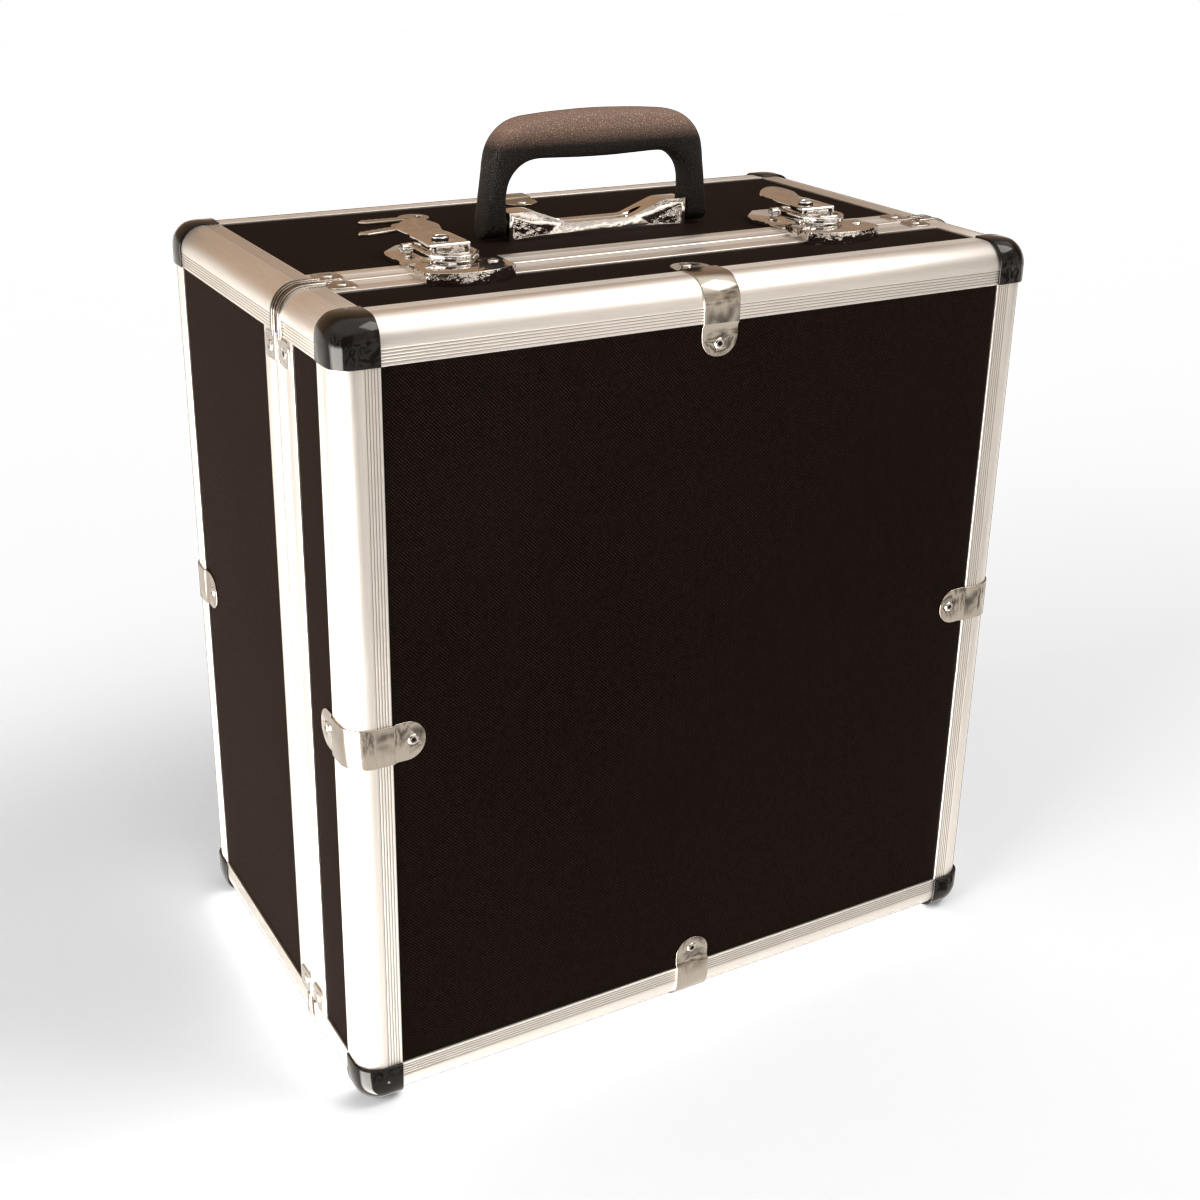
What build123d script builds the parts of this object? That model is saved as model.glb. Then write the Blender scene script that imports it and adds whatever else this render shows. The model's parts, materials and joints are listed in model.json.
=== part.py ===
from build123d import *
import os

# Upright accordion case: a deep body, a shallow lid on its front, hinged along the bottom edge.
# Millimetres. X runs along the width, Y from the lid (front) to the back, Z up from the ground.
# The origin is on the ground under the middle of the case.

# ---- case shell ----
case_width = 460.0
case_height = 482.0
case_depth = 282.0
lid_depth = 83.0
panel_thickness = 7.0
rim_gap = 0.25  # half the gap between the two rims when shut

# ---- edge extrusions ----
flange = 25.0
corner_radius = 15.0
skin = 1.5
slot_bottom = 12.0  # how near to the corner the panels reach
inner_flange = 20.0
groove_pitch = 1.7
groove_width = 0.9
groove_depth = 0.45
edge_grooves = 5
groove_margin = 1.8

# ---- rims with tongue and groove ----
rim_width = 22.0
rim_web = 5.0
rim_inner_flange = 12.0
rim_grooves = 4
rim_groove_start = 5.2
tongue_length = 2.5
tongue_thickness = 2.0
tongue_depth = 4.6  # from the outer face to the tongue
tongue_clearance = 0.8
rim_edge_radius = 1.2

# ---- corner caps, edge straps, corner braces ----
cap_proud = 2.2
strap_width = 24.0
strap_thickness = 1.0
strap_reach = 45.0
strap_rivet = 37.5
strap_step = 2.6
strap_bend = 0.4  # past the flange's edge
strap_bend_slope = 0.2
strap_end_radius = 11.4
brace_thickness = 1.0
brace_gap = 2.0  # from the split to the brace's edge
brace_rail = 6.0
brace_bead = 0.7
brace_bead_width = 3.0
brace_reach = 41.0
brace_tab_start = 25.5
brace_tab_width = 17.0
brace_tab_radius = 4.5
brace_rivet = 33.75
brace_bead_reach = 26.5
rivet_radius = 3.3
rivet_height = 1.1
rivet_shank = 1.6
rivet_taper = 45.0

# ---- bottom hinges ----
hinge_spacing = 230.0
hinge_length = 54.0
hinge_leaf = 17.0
hinge_thickness = 1.0
hinge_barrel = 1.9
hinge_pin = 0.9
hinge_clearance = 0.05
hinge_side_gap = 0.3
hinge_relief = 0.35
hinge_rivet_spacing = 34.0

# ---- handle ----
handle_length = 160.0
handle_rise = 74.0  # from the case top to the top of the grip
grip_thickness = 25.0
handle_leg = 16.0
handle_y = 6.0  # behind the middle of the case
handle_depth = 24.0
handle_leg_depth = 18.0
handle_crown = 5.0
handle_sag = 3.0
handle_taper = 8.0
handle_outer_radius = 28.0
handle_inner_radius = 22.0
handle_edge_radius = 6.0
pivot_height = 10.5  # above the top panel's face
pivot_radius = 2.5
pivot_clearance = 0.05
pivot_depth = 11.0
pivot_root = 6.0

# ---- handle bracket ----
bracket_depth = 16.0
bracket_wall = 1.6
bracket_high = 17.5
bracket_low = 8.5
bracket_flat = 44.0  # length of the low middle
bracket_shoulder = 92.0  # between the two high ends
bracket_play = 1.5
bracket_bend = 14.0
bracket_foot = 10.0
bracket_foot_height = 7.0
gusset_length = 30.0
gusset_depth = 0.6
gusset_margin = 2.4
gusset_top = 3.2
screw_spacing = 100.0
screw_radius = 2.0
screw_head = 4.0
screw_grip = 6.0
backing_length = 124.0
backing_width = 24.0
backing_thickness = 2.0
pick = 1.0  # how near to a level a corner lies to be picked for rounding

# ---- latches; distances run back from the split ----
latch_inset = 103.0  # from the case's side to the latch's middle
plate_thickness = 1.5
base_half_width = 23.5
base_front = 1.2
base_shoulder = 19.0
base_notch = 33.0
base_notch_half = 21.0
base_waist_half = 20.7
base_scallop_half = 21.5
base_swell = 2.0
base_wing = 52.0
base_wing_half = 18.5
base_rear = 65.0
base_tail_half = 6.0
keeper_width = 54.0
keeper_back = 1.5
keeper_corner = 26.0
keeper_front = 35.0
keeper_height = 6.0
keeper_wall = 1.2
post_width = 13.0
post_thickness = 1.5
post_height = 11.2
lever_front = 1.5
lever_width = 24.6
lever_height = 14.5
lever_wall = 1.3
lever_box = 29.0
lever_neck = 35.0
lever_neck_half = 10.8
lever_tab = 46.0
lever_tab_half = 13.6
lever_rear = 55.0
lever_lift = 4.5
lever_front_wall = 5.0
lever_front_gap = 0.4  # from the front wall's ends to the base's cheeks
lever_wall_bottom = 5.2
lever_wall_cut = 2.5
lever_waist_radius = 6.0
lever_tip_radius = 5.0
lever_overrun = 1.0
lever_pivot = 6.0
lever_pivot_height = 9.0
pin_radius = 1.5
pin_clearance = 0.05
pin_head = 0.7
cheek_half = 8.5
cheek_thickness = 1.5
cheek_start = 4.0
cheek_end = 20.5
cheek_height = 7.4
cheek_boss = 3.0
slot_start = 12.0
slot_play = 0.4
bail_pivot = 26.0
bail_pivot_height = 8.2
bail_arm = 2.6
bail_gap = 0.5
bail_low = 7.0
bail_high = 10.6
bail_boss = 3.2
bail_bar = 3.0
bail_bar_place = 12.0  # in front of the split
bail_straight = 3.0
bail_front = 14.5
bail_bar_half = 7.5
post_clearance = 0.3
lock_place = 15.0
lock_length = 10.0
lock_width = 7.4
lock_bottom = 5.8
plug_radius = 2.9
plug_clearance = 0.05
plug_recess = 0.2
cam_length = 9.4
cam_width = 3.0
cam_thickness = 1.2
cam_gap = 0.3
keyway_length = 3.6
keyway_width = 1.0
keyway_depth = 4.0
base_rivet_x = 10.0
base_rivet_y = 36.0
front_rivet_x = 18.0
front_rivet_y = 10.0
keeper_rivet_x = 19.5
keeper_rivet_y = 13.0

# ---- keys ----
key_length = 48.0
key_bow = 20.0
key_bow_hole = 3.0
key_hole_offset = 4.0
key_blade = 8.6
key_tooth = 1.2
key_teeth = 5
key_thickness = 2.0
key_places = ((-102.0, 84.0, 180.0), (-116.0, 57.0, 196.0))

# ---- lining ----
lining_thickness = 8.0
lining_setback = 1.5
lining_gap = 0.3

# ---- derived places ----
left, right = -case_width / 2, case_width / 2
front, back = -case_depth / 2, case_depth / 2
bottom, top = cap_proud, cap_proud + case_height
middle = (bottom + top) / 2
split = front + lid_depth
inner_face = skin + panel_thickness
wall_depth = inner_face + skin  # outer face to the inside of the extrusions
lining_depth = wall_depth + lining_thickness
panel_top = top - skin
latch_left, latch_right = left + latch_inset, right - latch_inset
split_plane = Plane(origin=(0, split, 0), z_dir=(0, 1, 0))
side_plane = Plane(origin=(0, 0, 0), z_dir=(1, 0, 0))
half_height_plane = Plane(origin=(0, 0, middle), z_dir=(0, 0, 1))
mid_depth_plane = Plane(origin=(0, 0, 0), z_dir=(0, 1, 0))
INTO_RIGHT, INTO_LEFT = (1, 0, 0), (-1, 0, 0)
INTO_BACK, INTO_FRONT = (0, 1, 0), (0, -1, 0)
INTO_UP, INTO_DOWN = (0, 0, 1), (0, 0, -1)
x_edge_length = case_width - 2 * flange
z_edge_length = case_height - 2 * flange
lid_edge_length = lid_depth - flange - rim_gap
body_edge_length = case_depth - lid_depth - flange - rim_gap

parts = {}


def keep(name, solid):
    """Names a finished piece for writing out."""
    solid.label = name
    parts[name] = solid


def corner_plane(point, inward_a, inward_b):
    """A plane across an edge of the case: local x and y run inwards along the two faces."""
    along = Vector(*inward_a).cross(Vector(*inward_b))
    return Plane(origin=point, x_dir=inward_a, z_dir=along)


def grooved_face(start, end, first, count):
    """Points along an outer face with fine lengthwise V grooves, as (along, depth)."""
    points = [(start, 0.0)]
    for i in range(count):
        centre = first + i * groove_pitch
        points += [(centre - groove_width / 2, 0.0), (centre, groove_depth), (centre + groove_width / 2, 0.0)]
    return points + [(end, 0.0)]


def merged(solids):
    """Several separate solids as one piece group."""
    with BuildPart() as group:
        for solid in solids:
            add(solid)
    return group.part


def four_corners(solid):
    """A corner piece repeated at the four corners of the case's outline."""
    pair = [solid, mirror(solid, about=side_plane)]
    return pair + [mirror(s, about=half_height_plane) for s in pair]


# ---- edge extrusions and rims ----
def edge_extrusion(place, length):
    """Double-angle edge bar: round outside corner, two grooved flanges and slots for two panels."""
    first = flange - groove_margin - (edge_grooves - 1) * groove_pitch
    face = grooved_face(corner_radius, flange, first, edge_grooves)
    inside = [
        (flange, skin),
        (slot_bottom, skin),
        (slot_bottom, inner_face),
        (inner_flange, inner_face),
        (inner_flange, wall_depth),
        (wall_depth, wall_depth),
    ]
    mirrored_inside = [(y, x) for x, y in reversed(inside[:-1])]
    with BuildPart() as bar:
        with BuildSketch(place):
            with BuildLine():
                Polyline(*face, *inside, *mirrored_inside, *[(y, x) for x, y in reversed(face)])
                CenterArc((corner_radius, corner_radius), corner_radius, 180, 90)
            make_face()
        extrude(amount=length / 2, both=True)
    return bar.part


def rim_strip(place, length, tongue):
    """Rim bar over the panel's edge, with a tongue on the lid's and a groove in the body's."""
    face = grooved_face(rim_gap + rim_edge_radius, rim_width, rim_groove_start, rim_grooves)
    inside = [(rim_width, skin), (rim_web, skin), (rim_web, inner_face)]
    inside += [(rim_inner_flange, inner_face), (rim_inner_flange, wall_depth), (rim_gap, wall_depth)]
    if tongue:
        tip, near, far = -tongue_length, tongue_depth, tongue_depth + tongue_thickness
    else:
        tip = tongue_length + tongue_clearance
        near = tongue_depth - tongue_clearance
        far = tongue_depth + tongue_thickness + tongue_clearance
    mouth = [(rim_gap, far), (tip, far), (tip, near), (rim_gap, near), (rim_gap, rim_edge_radius)]
    with BuildPart() as strip:
        with BuildSketch(place):
            with BuildLine():
                Polyline(*face, *inside, *mouth)
                CenterArc((rim_gap + rim_edge_radius, rim_edge_radius), rim_edge_radius, 180, 90)
            make_face()
        extrude(amount=length / 2, both=True)
    return strip.part


def front_ring(y, inward):
    """Planes and lengths of the four edges round the front or the back face."""
    return {
        "top": (corner_plane((0, y, top), inward, INTO_DOWN), x_edge_length),
        "bottom": (corner_plane((0, y, bottom), inward, INTO_UP), x_edge_length),
        "left": (corner_plane((left, y, middle), inward, INTO_RIGHT), z_edge_length),
        "right": (corner_plane((right, y, middle), inward, INTO_LEFT), z_edge_length),
    }


front_edges = front_ring(front, INTO_BACK)
back_edges = front_ring(back, INTO_FRONT)
for side, (place, length) in front_edges.items():
    keep(f"lid_front_edge_{side}", edge_extrusion(place, length))
for side, (place, length) in back_edges.items():
    keep(f"body_back_edge_{side}", edge_extrusion(place, length))


def corner_bars(y, length):
    """The four depth-wise edge bars of one half."""
    bar = edge_extrusion(corner_plane((left, y, bottom), INTO_RIGHT, INTO_UP), length)
    return merged(four_corners(bar))


keep("lid_corner_bars", corner_bars(front + flange + lid_edge_length / 2, lid_edge_length))
keep("body_corner_bars", corner_bars(back - flange - body_edge_length / 2, body_edge_length))


def hinge_notch(direction):
    """Relief under one hinge's barrel, cut out of one half's bottom rim."""
    reach = hinge_barrel + hinge_relief
    with BuildPart() as notch:
        with BuildSketch(Plane.XY.offset(bottom)):
            for side in (-1, 1):
                with Locations((side * hinge_spacing / 2, split + direction * reach / 2)):
                    Rectangle(hinge_length + 2 * hinge_relief, reach)
        extrude(amount=reach)
    return notch.part


def rim_pairs(away, tongue, direction):
    """One half's rim: the top and bottom strips, and the two side strips."""
    top_strip = rim_strip(corner_plane((0, split, top), away, INTO_DOWN), x_edge_length, tongue)
    bottom_strip = rim_strip(corner_plane((0, split, bottom), away, INTO_UP), x_edge_length, tongue)
    side_strip = rim_strip(corner_plane((left, split, middle), away, INTO_RIGHT), z_edge_length, tongue)
    with BuildPart() as level:
        add(top_strip)
        add(bottom_strip)
        add(hinge_notch(direction), mode=Mode.SUBTRACT)
    return level.part, merged([side_strip, mirror(side_strip, about=side_plane)])


for half, away, tongue, direction in (("lid", INTO_FRONT, True, -1), ("body", INTO_BACK, False, 1)):
    level_rims, side_rims = rim_pairs(away, tongue, direction)
    keep(f"{half}_rims_top_bottom", level_rims)
    keep(f"{half}_rims_sides", side_rims)


# ---- panels ----
def slab(x_from, x_to, y_from, y_to, z_from, z_to):
    """A plain rectangular board."""
    with BuildPart() as board:
        with BuildSketch(Plane.XY.offset(z_from)):
            with Locations(((x_from + x_to) / 2, (y_from + y_to) / 2)):
                Rectangle(x_to - x_from, y_to - y_from)
        extrude(amount=z_to - z_from)
    return board.part


def side_boards(y_from, y_to, outer, inner, corner):
    """Boards at an equal depth under the top, bottom, left and right faces."""
    low, high = bottom + corner, top - corner
    return {
        "top": slab(left + corner, right - corner, y_from, y_to, top - inner, top - outer),
        "bottom": slab(left + corner, right - corner, y_from, y_to, bottom + outer, bottom + inner),
        "left": slab(left + outer, left + inner, y_from, y_to, low, high),
        "right": slab(right - inner, right - outer, y_from, y_to, low, high),
    }


def face_board(y_from, y_to):
    """The large front or back board."""
    inset = slot_bottom
    return slab(left + inset, right - inset, y_from, y_to, bottom + inset, top - inset)


def under_handle(height):
    """A level plane under the handle, at a height."""
    return Plane(origin=(0, handle_y, height))


def pocketed(board):
    """The body's top board, with the handle's backing plate let into its inside and two screw holes."""
    with BuildPart() as panel:
        add(board)
        with BuildSketch(under_handle(top - inner_face)):
            Rectangle(backing_length, backing_width)
        extrude(amount=backing_thickness, mode=Mode.SUBTRACT)
        with BuildSketch(under_handle(top - inner_face)):
            with GridLocations(screw_spacing, 0, 2, 1):
                Circle(screw_radius)
        extrude(amount=panel_thickness, mode=Mode.SUBTRACT)
    return panel.part


lid_boards = side_boards(front + slot_bottom, split - rim_web, skin, inner_face, slot_bottom)
body_boards = side_boards(split + rim_web, back - slot_bottom, skin, inner_face, slot_bottom)
body_boards["top"] = pocketed(body_boards["top"])
keep("lid_front_panel", face_board(front + skin, front + inner_face))
keep("body_back_panel", face_board(back - inner_face, back - skin))
for half, boards in (("lid", lid_boards), ("body", body_boards)):
    for side, board in boards.items():
        keep(f"{half}_{side}_panel", board)


# ---- corner caps ----
def corner_cap():
    """Rounded plastic corner at the left bottom front, slotted for the three panels."""
    outer_radius = corner_radius + cap_proud
    size = flange + cap_proud
    start = (left - cap_proud, front - cap_proud, bottom - cap_proud)
    with BuildPart() as cap:
        with BuildSketch(Plane.XY.offset(start[2])):
            with Locations((start[0] + size / 2, start[1] + size / 2)):
                Rectangle(size, size)
        extrude(amount=size)
        corner = Vector(*start)
        outside = cap.edges().sort_by(lambda e: (e.center() - corner).length)[:3]
        fillet(outside, outer_radius)
        with BuildSketch(Plane.XY.offset(bottom + wall_depth)):
            with Locations((left + wall_depth + size / 2, front + wall_depth + size / 2)):
                Rectangle(size, size)
        extrude(amount=size, mode=Mode.SUBTRACT)
        add(face_board(front + skin, front + inner_face), mode=Mode.SUBTRACT)
        add(lid_boards["bottom"], mode=Mode.SUBTRACT)
        add(lid_boards["left"], mode=Mode.SUBTRACT)
    return cap.part


front_caps = four_corners(corner_cap())
keep("lid_corner_caps", merged(front_caps))
keep("body_corner_caps", merged([mirror(cap, about=mid_depth_plane) for cap in front_caps]))


# ---- rivets ----
def rivet(point, outward, plate):
    """Flat domed rivet head with its shank through a plate."""
    with BuildPart() as body:
        with BuildSketch(Plane(origin=point, z_dir=outward)):
            Circle(rivet_radius)
        extrude(amount=rivet_height, taper=rivet_taper)
        with BuildSketch(Plane(origin=point, z_dir=outward)):
            Circle(rivet_shank)
        extrude(amount=-plate)
    return body.part


# ---- edge straps ----
def band_points(reach, thickness, drop):
    """Outside and inside lines of a band from one face towards the corner, as (along, depth)."""
    step = flange + strap_step
    bend = flange + strap_bend
    inside = [(reach, drop), (step, drop), (bend + strap_bend_slope, 0.0), (corner_radius, 0.0)]
    outside = [(corner_radius, -thickness), (bend, -thickness), (step, drop - thickness)]
    return inside, outside + [(reach, drop - thickness)]


def edge_strap(place):
    """Bent steel strap round an edge bar, stepped down to the panel on both sides."""
    inside, outside = band_points(strap_reach, strap_thickness, skin)
    centre = (corner_radius, corner_radius)
    with BuildPart() as strap:
        with BuildSketch(place):
            with BuildLine():
                Polyline(*inside)
                CenterArc(centre, corner_radius, 180, 90)
                Polyline(*[(y, x) for x, y in reversed(inside)])
                Line(inside[0][::-1], outside[-1][::-1])
                Polyline(*[(y, x) for x, y in reversed(outside)])
                CenterArc(centre, corner_radius + strap_thickness, 180, 90)
                Polyline(*outside)
                Line(outside[-1], inside[0])
            make_face()
        extrude(amount=strap_width / 2, both=True)
        tips = [place.from_local_coords(spot) for spot in ((strap_reach, skin, 0), (skin, strap_reach, 0))]
        short = strap.edges().filter_by(lambda e: e.length < 2 * strap_thickness)
        ends = [e for e in short if min((e.center() - tip).length for tip in tips) < strap_end_radius * 1.2]
        fillet(ends, strap_end_radius)
    return strap.part


def strap_rivets(place):
    """The strap's two rivets, on the panels each side of the edge bar."""
    level = skin - strap_thickness
    spots = (((strap_rivet, level, 0), -place.y_dir), ((level, strap_rivet, 0), -place.x_dir))
    return [rivet(place.from_local_coords(spot), outward, strap_thickness) for spot, outward in spots]


def riveted(solid, rivets):
    """A plate group with the holes that its rivets pass through."""
    with BuildPart() as plate:
        add(solid)
        for r in rivets:
            add(r, mode=Mode.SUBTRACT)
    return plate.part


# ---- corner braces at the split ----
def corner_band(place, start, width, base, thickness, reach):
    """A band round the corner of the outline, lying on the edge bar, from start outwards along Y."""
    centre = (corner_radius, corner_radius)
    with BuildPart() as band:
        with BuildSketch(place.offset(start)):
            with BuildLine():
                Line((reach, -base), (corner_radius, -base))
                CenterArc(centre, corner_radius + base, 180, 90)
                Line((-base, corner_radius), (-base, reach))
                Line((-base, reach), (-base - thickness, reach))
                Line((-base - thickness, reach), (-base - thickness, corner_radius))
                CenterArc(centre, corner_radius + base + thickness, 180, 90)
                Line((corner_radius, -base - thickness), (reach, -base - thickness))
                Line((reach, -base - thickness), (reach, -base))
            make_face()
        extrude(amount=width)
    return band.part


def brace_tab(place, offset):
    """Flat rounded end of a brace, lying on one face at an offset across it."""
    length = brace_reach - brace_tab_start
    with BuildPart() as tab:
        with BuildSketch(place):
            with Locations((brace_tab_start + length / 2, offset)):
                RectangleRounded(length, brace_tab_width, brace_tab_radius)
        extrude(amount=brace_thickness)
    return tab.part


def brace_and_rivets():
    """Body-side brace at the left top corner, with its two rivets."""
    across = corner_plane((left, split, top), INTO_RIGHT, INTO_DOWN)
    on_top = Plane(origin=(left, split, top), x_dir=(1, 0, 0), z_dir=(0, 0, 1))
    on_side = Plane(origin=(left, split, top), x_dir=(0, 0, -1), z_dir=(-1, 0, 0))
    bead_start = brace_gap + (brace_rail - brace_bead_width) / 2
    centre = brace_gap + brace_tab_width / 2
    places = [(on_top, (0, 0, 1), centre), (on_side, (-1, 0, 0), -centre)]
    with BuildPart() as brace:
        add(corner_band(across, brace_gap, brace_rail, 0.0, brace_thickness, brace_reach - brace_tab_radius))
        add(corner_band(across, bead_start, brace_bead_width, brace_thickness, brace_bead, brace_bead_reach))
        for plane, outward, offset in places:
            add(brace_tab(plane, offset))
    rivets = []
    for plane, outward, offset in places:
        point = plane.from_local_coords((brace_rivet, offset, brace_thickness))
        rivets.append(rivet(point, outward, brace_thickness))
    return riveted(brace.part, rivets), rivets


brace, brace_rivets = brace_and_rivets()
body_brace_rivets = [r for one in brace_rivets for r in four_corners(one)]
lid_brace_rivets = [mirror(r, about=split_plane) for r in body_brace_rivets]
body_braces = four_corners(brace)
keep("body_corner_braces", merged(body_braces))
keep("lid_corner_braces", merged([mirror(b, about=split_plane) for b in body_braces]))

halves = (("lid", front_edges, lid_brace_rivets), ("body", back_edges, body_brace_rivets))
for half, edges, brace_set in halves:
    straps, rivets = [], []
    for place, length in edges.values():
        own = strap_rivets(place)
        straps.append(riveted(edge_strap(place), own))
        rivets += own
    keep(f"{half}_edge_straps", merged(straps))
    keep(f"{half}_rivets", merged(rivets + brace_set))


# ---- bottom hinges ----
def hinge_knuckles(lid_side):
    """X spans of one leaf's barrels: the body has the two outer ones, the lid the middle one."""
    third = hinge_length / 3
    if lid_side:
        return [(-third / 2 + hinge_side_gap / 2, third / 2 - hinge_side_gap / 2)]
    inner = third / 2 + hinge_side_gap / 2
    return [(-hinge_length / 2, -inner), (inner, hinge_length / 2)]


def hinge_leaf_solid(centre, direction, lid_side):
    """One leaf under the bottom rim, with barrels on the hinge line."""
    clear = hinge_barrel + hinge_relief
    with BuildPart() as leaf:
        with BuildSketch(Plane.XY.offset(bottom)):
            with Locations((centre, split + direction * (clear + hinge_leaf) / 2)):
                Rectangle(hinge_length, hinge_leaf - clear)
        extrude(amount=-hinge_thickness)
        for x_from, x_to in hinge_knuckles(lid_side):
            with BuildSketch(Plane.XY.offset(bottom)):
                with Locations((centre + (x_from + x_to) / 2, split + direction * clear / 2)):
                    Rectangle(x_to - x_from, clear)
            extrude(amount=-hinge_thickness)
            with BuildSketch(Plane(origin=(centre + x_from, split, bottom), z_dir=(1, 0, 0))):
                Circle(hinge_barrel)
            extrude(amount=x_to - x_from)
        with BuildSketch(Plane(origin=(centre - hinge_length / 2, split, bottom), z_dir=(1, 0, 0))):
            Circle(hinge_pin + hinge_clearance)
        extrude(amount=hinge_length, mode=Mode.SUBTRACT)
    return leaf.part


def hinge_rivets(centre, direction):
    """Two rivets through a leaf into the rim."""
    y = split + direction * (hinge_barrel + hinge_relief + hinge_leaf) / 2
    xs = (centre - hinge_rivet_spacing / 2, centre + hinge_rivet_spacing / 2)
    return [rivet((x, y, bottom - hinge_thickness), (0, 0, -1), hinge_thickness) for x in xs]


hinge_centres = (-hinge_spacing / 2, hinge_spacing / 2)
for half, direction in (("lid", -1), ("body", 1)):
    leaves, rivets = [], []
    for centre in hinge_centres:
        own = hinge_rivets(centre, direction)
        leaves.append(riveted(hinge_leaf_solid(centre, direction, half == "lid"), own))
        rivets += own
    keep(f"{half}_hinge_leaves", merged(leaves))
    keep(f"{half}_rivets", merged([parts[f"{half}_rivets"], *rivets]))

with BuildPart() as hinge_pins:
    for centre in hinge_centres:
        with BuildSketch(Plane(origin=(centre - hinge_length / 2, split, bottom), z_dir=(1, 0, 0))):
            Circle(hinge_pin)
        extrude(amount=hinge_length)
keep("hinge_pins", hinge_pins.part)


# ---- handle ----
pivot_z = panel_top + pivot_height
leg_inner = handle_length / 2 - handle_leg
handle_top = top + handle_rise
foot_z = pivot_z - handle_leg_depth / 2


def handle_face(forward=0.0):
    """An upright plane along the handle, facing the lid."""
    return Plane.XZ.offset(forward - handle_y)


def handle_outline():
    """Front view of the handle: crowned top, round shoulders, slightly sagging underside."""
    half = handle_length / 2
    edge = half - handle_taper
    shoulder = handle_top - handle_crown
    under = handle_top - grip_thickness
    with BuildSketch() as face:
        with BuildLine():
            ThreePointArc((-edge, shoulder), (0, handle_top), (edge, shoulder))
            Line((edge, shoulder), (half, foot_z))
            Line((half, foot_z), (leg_inner, foot_z))
            Line((leg_inner, foot_z), (leg_inner, under))
            ThreePointArc((leg_inner, under), (0, under - handle_sag), (-leg_inner, under))
            Line((-leg_inner, under), (-leg_inner, foot_z))
            Line((-leg_inner, foot_z), (-half, foot_z))
            Line((-half, foot_z), (-edge, shoulder))
        make_face()
        high = face.vertices().filter_by_position(Axis.Y, shoulder - pick, handle_top)
        fillet(high, handle_outer_radius)
        low = face.vertices().filter_by_position(Axis.Y, under - pick, under + pick)
        fillet(low, handle_inner_radius)
    return face.sketch


def handle_end_view():
    """End view of the handle: round foot about the pivot, widening to the grip."""
    radius = handle_leg_depth / 2
    half = handle_depth / 2
    with BuildSketch() as end:
        with BuildLine():
            ThreePointArc((-radius, pivot_z), (0, pivot_z - radius), (radius, pivot_z))
            Polyline((radius, pivot_z), (half, handle_top), (-half, handle_top), (-radius, pivot_z))
        make_face()
    return end.sketch


with BuildPart() as handle_grip:
    with BuildSketch(handle_face()):
        add(handle_outline())
    extrude(amount=handle_depth / 2, both=True)
    rims = handle_grip.faces().filter_by(Axis.Y).edges()
    fillet(rims.filter_by(lambda e: e.center().Z > foot_z + pick), handle_edge_radius)
    with BuildSketch(Plane(origin=(0, handle_y, 0), x_dir=(0, 1, 0), z_dir=(1, 0, 0))):
        add(handle_end_view())
    extrude(amount=handle_length, both=True, mode=Mode.INTERSECT)
    for side in (-1, 1):
        with BuildSketch(Plane(origin=(side * leg_inner, handle_y, pivot_z), z_dir=(side, 0, 0))):
            Circle(pivot_radius + pivot_clearance)
        extrude(amount=pivot_depth + bracket_play, mode=Mode.SUBTRACT)
keep("handle_grip", handle_grip.part)


# ---- handle bracket and its fixings ----
bracket_half = leg_inner - bracket_play


def bracket_outline(inset):
    """Side view of the bracket: two high shoulders and a low middle."""
    half = bracket_half - inset
    shoulder = bracket_shoulder / 2 - inset
    flat = bracket_flat / 2 - inset
    high = panel_top + bracket_high - inset
    low = panel_top + bracket_low - inset
    with BuildSketch() as view:
        with BuildLine():
            Polyline(
                (-half, panel_top),
                (-half, high),
                (-shoulder, high),
                (-flat, low),
                (flat, low),
                (shoulder, high),
                (half, high),
                (half, panel_top),
                close=True,
            )
        make_face()
        bends = view.vertices().filter_by(lambda v: abs(v.X) < half - pick)
        fillet(bends, bracket_bend)
    return view.sketch


def gusset_outline(side):
    """Pressed triangle in the bracket's wall at one end."""
    outer = side * (bracket_half - gusset_margin)
    base = panel_top + bracket_wall
    peak = panel_top + bracket_high - gusset_top
    with BuildSketch() as view:
        with BuildLine():
            Polyline(
                (outer, base),
                (outer, peak),
                (outer - side * gusset_length, base + bracket_wall),
                close=True,
            )
        make_face()
        fillet(view.vertices(), bracket_wall)
    return view.sketch


with BuildPart() as handle_bracket:
    with BuildSketch(handle_face()):
        add(bracket_outline(0.0))
    extrude(amount=bracket_depth / 2, both=True)
    with BuildSketch(handle_face()):
        add(bracket_outline(bracket_wall))
    extrude(amount=bracket_depth / 2 - bracket_wall, both=True, mode=Mode.SUBTRACT)
    for side in (-1, 1):
        for face in (-1, 1):
            with BuildSketch(handle_face(face * bracket_depth / 2)):
                add(gusset_outline(side))
            extrude(amount=-face * gusset_depth, mode=Mode.SUBTRACT)
    with BuildSketch(under_handle(panel_top)):
        with GridLocations(screw_spacing, 0, 2, 1):
            Rectangle(bracket_foot, bracket_depth - 2 * bracket_wall)
            Circle(screw_radius, mode=Mode.SUBTRACT)
    extrude(amount=bracket_foot_height)
    with BuildSketch(Plane(origin=(-bracket_half, handle_y, pivot_z), z_dir=(1, 0, 0))):
        Circle(pivot_radius)
    extrude(amount=2 * bracket_half, mode=Mode.SUBTRACT)
keep("handle_bracket", handle_bracket.part)

with BuildPart() as handle_pivot_pins:
    for side in (-1, 1):
        start = side * (bracket_half - pivot_root)
        with BuildSketch(Plane(origin=(start, handle_y, pivot_z), z_dir=(side, 0, 0))):
            Circle(pivot_radius)
        extrude(amount=pivot_root + bracket_play + pivot_depth)
keep("handle_pivot_pins", handle_pivot_pins.part)

with BuildPart() as handle_backing_plate:
    with BuildSketch(under_handle(top - inner_face)):
        Rectangle(backing_length, backing_width)
    extrude(amount=backing_thickness)
    with BuildSketch(under_handle(top - inner_face)):
        with GridLocations(screw_spacing, 0, 2, 1):
            Circle(screw_head)
    extrude(amount=backing_thickness, taper=45, mode=Mode.SUBTRACT)
keep("handle_backing_plate", handle_backing_plate.part)

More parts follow.
